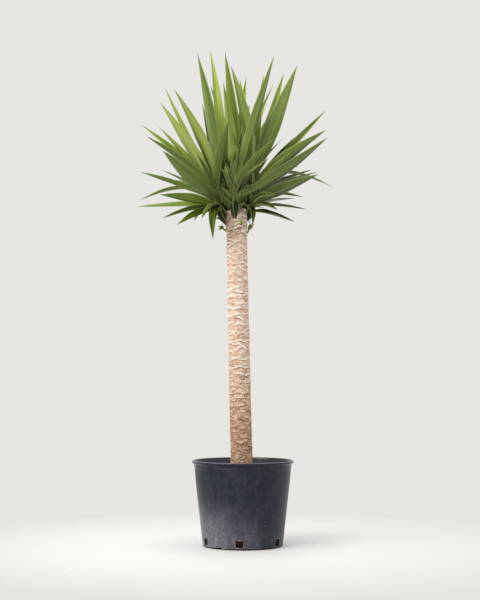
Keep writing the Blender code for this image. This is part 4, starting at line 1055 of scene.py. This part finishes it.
def fineBlade(leaf, draw, stations, thick=1.0):
    # a channelled blade: across it the rise goes as |u| to the power 1.1, with a soft midrib keel
    # below; its edge wavers by a few slow sines along the leaf
    at = np.append(np.linspace(0, 1, stations + 1)[:-2] ** 0.95, 0.988)
    place, side, face = bladeFrames(leaf, at)
    flatter, fold = [np.radians(np.interp(at, blade["foldAt"], blade[key]))[:, None, None]
                     for key in ("fold", "shownFold")]
    half = (leaf["width"] / 2 * bladeWidth(at))[:, None, None]
    half = half * np.cos(flatter) / np.cos(fold) * blade["spread"]
    upper = [1.0, 0.82, 0.56, 0.28, 0.09, -0.09, -0.28, -0.56, -0.82, -1.0]
    lower = [-0.93, -0.5, -0.14, 0.0, 0.14, 0.5, 0.93]
    line = np.array(upper + lower)
    below = np.repeat([0.0, 1.0], [len(upper), len(lower)])
    thickness = [blade["shownMid"], blade["shownThin"], blade["shownEdge"]]
    depth = np.interp(np.abs(line), [0, 0.3, 1.0], thickness) * below
    taper = np.clip((1 - at) / 0.12, 0.35, 1.0)[:, None]
    waver = sum(draw.uniform(0.3, 1.0) * np.sin(at * draw.uniform(8, 26) + draw.uniform(0, turnFull))
                for _ in range(3))[:, None, None] * blade["waver"] * thick
    grow = np.sin(math.pi * at)[:, None, None]
    wide = line[None, :, None]
    across = side[:, None] * wide * half * np.cos(fold)
    rise = np.abs(wide) ** 1.1 * half * np.sin(fold) + waver * wide * grow * np.abs(wide)
    shell = place[:, None] + across + face[:, None] * rise
    shell = shell - face[:, None] * (depth[None, :] * taper)[:, :, None] * thick
    points, faces = capped(shell, None, leaf["tip"] - face[-1] * blade["shownEdge"] / 2)
    uv = uvGrid((line + 1) / 2, at[:, None], 0.0, 1.0)
    return points, faces, uv, np.append(np.tile(below, len(at)), [0, 0])

def fineStem(head, sides=28):
    # the solids' stem drawn finer, with a sheath ridge every few millimetres up it
    rows, _ = stemRows(head["stem"], head["radii"], sides)
    share = np.linspace(0, len(rows) - 1, 40)
    index = np.minimum(share.astype(int), len(rows) - 2)
    part = (share - index)[:, None, None]
    fine = rows[index] * (1 - part) + rows[index + 1] * part
    middle = fine.mean(axis=1, keepdims=True)
    saw = (share * 3.1) % 1.0
    v = share / share[-1]
    ridge = 1 - 0.10 * saw[:, None, None]
    ridge = ridge * (1 - 0.6 * held((v - 0.4) / 0.35)[:, None, None])
    points, faces = capped(middle + (fine - middle) * ridge)
    uv = uvGrid(np.abs(np.linspace(-1, 1, sides)), 0.3 + v[:, None] * 0.3, 0.3, 0.6)
    low = held(0.9 - v * 5.0) * (0.65 + 0.35 * saw)
    return points, faces, uv, np.append(np.repeat(low, sides), [1, 0])

sheath = {
    # sheath leaves are dark: painted shade in the heart of the head
    "count": 26, "length": (42 * mm, 92 * mm), "width": (13 * mm, 21 * mm), "tone": (-1.0, -0.5),
    "lean": (38, 62), "leanDrop": 26,       # degrees off the stem, less by the second at its top
}

def sheathLeaves(head, draw):
    # short clasping leaves up a stem: each starts on its side at the golden angle, leans out, and
    # stands steeper the higher it starts
    places = metres(head["stem"])
    along = np.linspace(0, len(places) - 1, sheath["count"] + 2)[1:-1] * 0.97
    made = []
    for index, spot in enumerate(along):
        low = min(int(spot), len(places) - 2)
        middle = places[low] + (places[low + 1] - places[low]) * (spot - low)
        radius = np.interp(spot, np.arange(len(places)), head["radii"]) * mm
        ahead = unit(places[low + 1] - places[low])
        side = unit(np.cross(ahead, front))
        turn = math.radians(goldenAngle) * index + draw.uniform(-0.25, 0.25)
        outward = math.cos(turn) * side + math.sin(turn) * np.cross(ahead, side)
        share = spot / (len(places) - 1)
        lean = math.radians(draw.uniform(*sheath["lean"]) - sheath["leanDrop"] * share)
        lean *= min(1.0, 0.45 + 1.2 * share) * (1 - 0.55 * max(0.0, float(outward @ front)))
        way = math.cos(lean) * (0.55 * ahead + np.array([0, 0, 0.45])) + math.sin(lean) * outward
        reach = draw.uniform(*sheath["length"]) * (0.50 + 0.75 * share)
        base = middle + outward * radius * 0.62
        made.append({"base": base, "tip": base + way * reach, "width": draw.uniform(*sheath["width"]),
                     "bow": 0.07 * reach, "shown": None, "tone": draw.uniform(*sheath["tone"])})
    return made

young = {
    "count": 13, "frontCount": 5, "length": (140 * mm, 215 * mm), "width": (15 * mm, 23 * mm),
    # their tone is mostly dark: painted shade low inside the crown
    "lean": 88, "frontLean": 26, "tone": (-0.95, -0.2), "bright": (0.4, 0.9),
}

def youngLeaves(head, draw):
    # narrow leaves up the stem, at the golden angle round it, leaning from 88 degrees to 4; the front
    # head has few, and all of them steep
    low, high = metres(head["low"]), metres(head["high"])
    few = head["hidden"][0] <= 1
    count = young["frontCount" if few else "count"]
    made = []
    for index in range(count):
        share = (index + 0.5) / count
        turn = math.radians(goldenAngle) * index + draw.uniform(-0.3, 0.3)
        lean = math.radians(young["frontLean" if few else "lean"] * (1 - share) + draw.uniform(0, 8))
        way = np.array([math.sin(lean) * math.cos(turn), math.sin(lean) * math.sin(turn), math.cos(lean)])
        base = low + (high - low) * (0.10 + 0.90 * share) + way * np.array([1, 1, 0]) * 8 * mm
        reach = draw.uniform(*young["length"]) * (0.66 + 0.34 * share)
        made.append({"base": base, "tip": base + way * reach, "bow": 6 * mm, "shown": None,
                     "width": draw.uniform(*young["width"]),
                     "tone": draw.uniform(*(young["bright"] if index % 4 == 1 else young["tone"]))})
    return made

def pieceName(node):
    # a node's name in the script's own way of writing
    first, second = node.split("_")
    return first + second.capitalize()

def makeHeads():
    # one mesh a head: its stem, sheath leaves and young leaves, then the leaves that the solids have
    placed = placeLeaves()
    draw = np.random.default_rng(blade["seed"])
    for name, head in heads.items():
        bundle = Bundle()
        points, faces, uv, dry = fineStem(head)
        # the stem is nearly black: painted shade in the heart of the head
        bundle.add(points, faces, uv, -0.95, 0.0, dry)
        for grown, stations in ((sheathLeaves, 18), (youngLeaves, 30)):
            for leaf in grown(head, draw):
                points, faces, uv, under = fineBlade(leaf, draw, stations, 0.8)
                bundle.add(points, faces, uv, leaf["tone"], under, 0.0)
        for leaf in placed[name]:
            points, faces, uv, under = fineBlade(leaf, draw, blade["stations"])
            # one half of each leaf painted darker than the other: painted shade of its V-fold
            half = draw.choice([-1, 1]) * draw.uniform(*blade["halfShade"]) * np.sign(uv[:, 0] - 0.5)
            tipDry = held((uv[:, 1] - draw.uniform(0.975, 1.0)) / 0.02) * 0.7
            bundle.add(points, faces, uv, leaf["tone"] + half + draw.uniform(-0.08, 0.08), under, tipDry)
        made = bundle.piece(pieceName(name))
        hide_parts(name)
        print(name, len(placed[name]), "leaves")

makeHeads()

shoots = {
    "shoot_left": {
        "stub": [(-38, -3, 783), (-45, -4, 786), (-49, -5, 788)], "radii": [3.4, 3.2, 2.2],
        "tips": [(-62, -6, 789), (-60, -4, 797), (-57, -12, 794), (-61, -11, 784), (-54, 3, 797),
                 (-63, -9, 794), (-58, -14, 787), (-55, -5, 800)], "width": 5.0},
    "shoot_right": {
        "stub": [(3, -3, 776), (11, -4, 780), (15, -5, 784)], "radii": [3.6, 3.6, 2.6],
        "tips": [(30, -6, 802), (25, -12, 796), (22, 1, 800), (27, -2, 792), (19, -14, 790),
                 (20, -6, 803), (25, -3, 805), (28, -10, 797), (17, -9, 800)], "width": 6.6},
}
shootLeaf = {"shown": 0.6, "bow": 1.2 * mm, "stations": 16, "thick": 0.5, "seed": 9}
bud = {"x": -5 * mm, "z": 803 * mm, "size": (4.3 * mm, 3.8 * mm, 7.4 * mm), "sunk": 1.2 * mm}

def makeShoots():
    # a short stub with its small leaves, all from its end
    draw = np.random.default_rng(shootLeaf["seed"])
    for name, shoot in shoots.items():
        bundle = Bundle()
        points, faces, uv, dry = fineStem({"stem": shoot["stub"], "radii": shoot["radii"]}, 16)
        bundle.add(points, faces, uv, 0.2, 0.0, dry)
        root = metres(shoot["stub"][-1])
        for tip in metres(shoot["tips"]):
            leaf = dict(shootLeaf, base=root, tip=tip, width=shoot["width"] * mm)
            points, faces, uv, under = fineBlade(leaf, draw, leaf["stations"], leaf["thick"])
            bundle.add(points, faces, uv, 0.0, under, 0.0)
        made = bundle.piece(pieceName(name))
        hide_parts(name)

def makeBud():
    # a plump drop lying on the cane, its side a little wavy, with brown dry scale over its lower part
    reach = float(caneRadius(bud["z"]))
    y = -math.sqrt(reach ** 2 - (bud["x"] - float(caneCentre(bud["z"]))) ** 2) - bud["sunk"]
    v = np.linspace(0.02, 0.98, 36)[:, None] * math.pi
    u = circle(30)[None]
    up = -np.cos(v)
    size = np.sin(v) * (1 - 0.22 * up) * (1 + 0.06 * np.sin(2 * u + 5 * up))
    wide, deep, tall = bud["size"]
    grid = spread(bud["x"] + wide * size * np.cos(u), y + deep * size * np.sin(u), bud["z"] + tall * up)
    points, faces = capped(grid)
    uv = uvGrid(np.abs(u / math.pi - 1), 0.2 + 0.3 * v / math.pi, 0.2, 0.5)
    scale = held((np.sin(u + 0.8) * 0.5 - up * 0.9 + 0.1) * 2.2)
    bundle = Bundle()
    bundle.add(points, faces, uv, 0.5, 0.0, np.append(scale.ravel(), [1, 0]))
    made = bundle.piece("budFront")
    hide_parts("bud_front")

makeShoots()
makeBud()
print("shoots and bud made")

studio = {
    "floor": "#dddcdb", "backdrop": "#e7e6e2", "fadeFrom": 0.26, "fadeTo": 0.80, "floorLevel": -0.2 * mm,
    "keyPlace": (-2.6, -2.3, 2.7), "keyAim": (0.0, 0.0, 0.65), "keySize": 2.6, "keyPower": 108.0,
    "keyTint": (1.0, 0.985, 0.96), "skyAbove": 1.22, "skyBelow": 0.58, "skyTint": "#fdfcfa",
    "cameraPlace": (-0.007, -3.42, 0.431), "cameraTilt": 93.0, "lens": 82.0, "sensor": 36.0,
}

def makeFloor():
    # a flat disc that fades into the pale backdrop with distance from the plant
    made, add, shader = newMaterial("paleFloorPaint")
    place = add("TexCoord", {}, "Object")
    away = add("VectorMath", {"operation": "LENGTH", 0: place}, "Value")
    solid = add("MapRange", {"From": (studio["fadeTo"], studio["fadeFrom"]), "Value": away})
    setNode(shader, {"Alpha": solid, "Base Color": linear(studio["floor"]), "Roughness": 0.7})
    radius = np.array([0.01, 0.2, 0.4, 0.7, 1.05])[:, None]
    grid = ringGrid(radius, circle(96), studio["floorLevel"])
    mesh = bpy.data.meshes.new("floor")
    points = np.vstack([grid.reshape(-1, 3), [0, 0, studio["floorLevel"]]])
    mesh.from_pydata(points.tolist(), [], gridFaces(5, 96) + fanFaces(np.arange(96), 5 * 96))
    mesh.materials.append(made)
    floor = newObject("floor", mesh)

def makeLight():
    # a wide warm key from the upper left, and a pale sky that is brighter above; the camera itself
    # sees an even backdrop
    key = bpy.data.lights.new("keyLight", "AREA")
    key.size = studio["keySize"]
    key.energy = studio["keyPower"]
    key.color = studio["keyTint"]
    lamp = newObject("keyLight", key)
    lamp.location = studio["keyPlace"]
    lamp.rotation_euler = (Vector(studio["keyAim"]) - lamp.location).to_track_quat("-Z", "Y").to_euler()
    world = bpy.data.worlds.new("paleRoom")
    bpy.context.scene.world = world
    world.use_nodes = True
    add = partial(addNode, world.node_tree)
    shown = world.node_tree.nodes["Background"]
    setNode(shown, {"Color": linear(studio["backdrop"])})
    way = add("TexCoord", {}, "Generated")
    split = add("SeparateXYZ", {0: way}, "Z")
    level = add("MapRange", {"From": (-0.6, 0.8), "To": (studio["skyBelow"], studio["skyAbove"]),
                             "Value": split})
    fill = add("Background", {"Color": linear(studio["skyTint"]), "Strength": level})
    path = add("LightPath", {}, "Is Camera Ray")
    both = add("MixShader", {0: path, 1: fill, 2: shown.outputs[0]})
    setNode(world.node_tree.nodes["World Output"], {"Surface": both})
    bpy.context.scene.view_settings.view_transform = "Standard"

def makeCamera():
    # 3.4 m in front and 0.43 m up, tilted up by 3 degrees
    lens = bpy.data.cameras.new("camera")
    lens.lens = studio["lens"]
    lens.sensor_width = studio["sensor"]
    camera = newObject("camera", lens)
    camera.location = studio["cameraPlace"]
    camera.rotation_euler = (math.radians(studio["cameraTilt"]), 0.0, 0.0)
    bpy.context.scene.camera = camera

makeFloor()
makeLight()
makeCamera()
print("stage made")
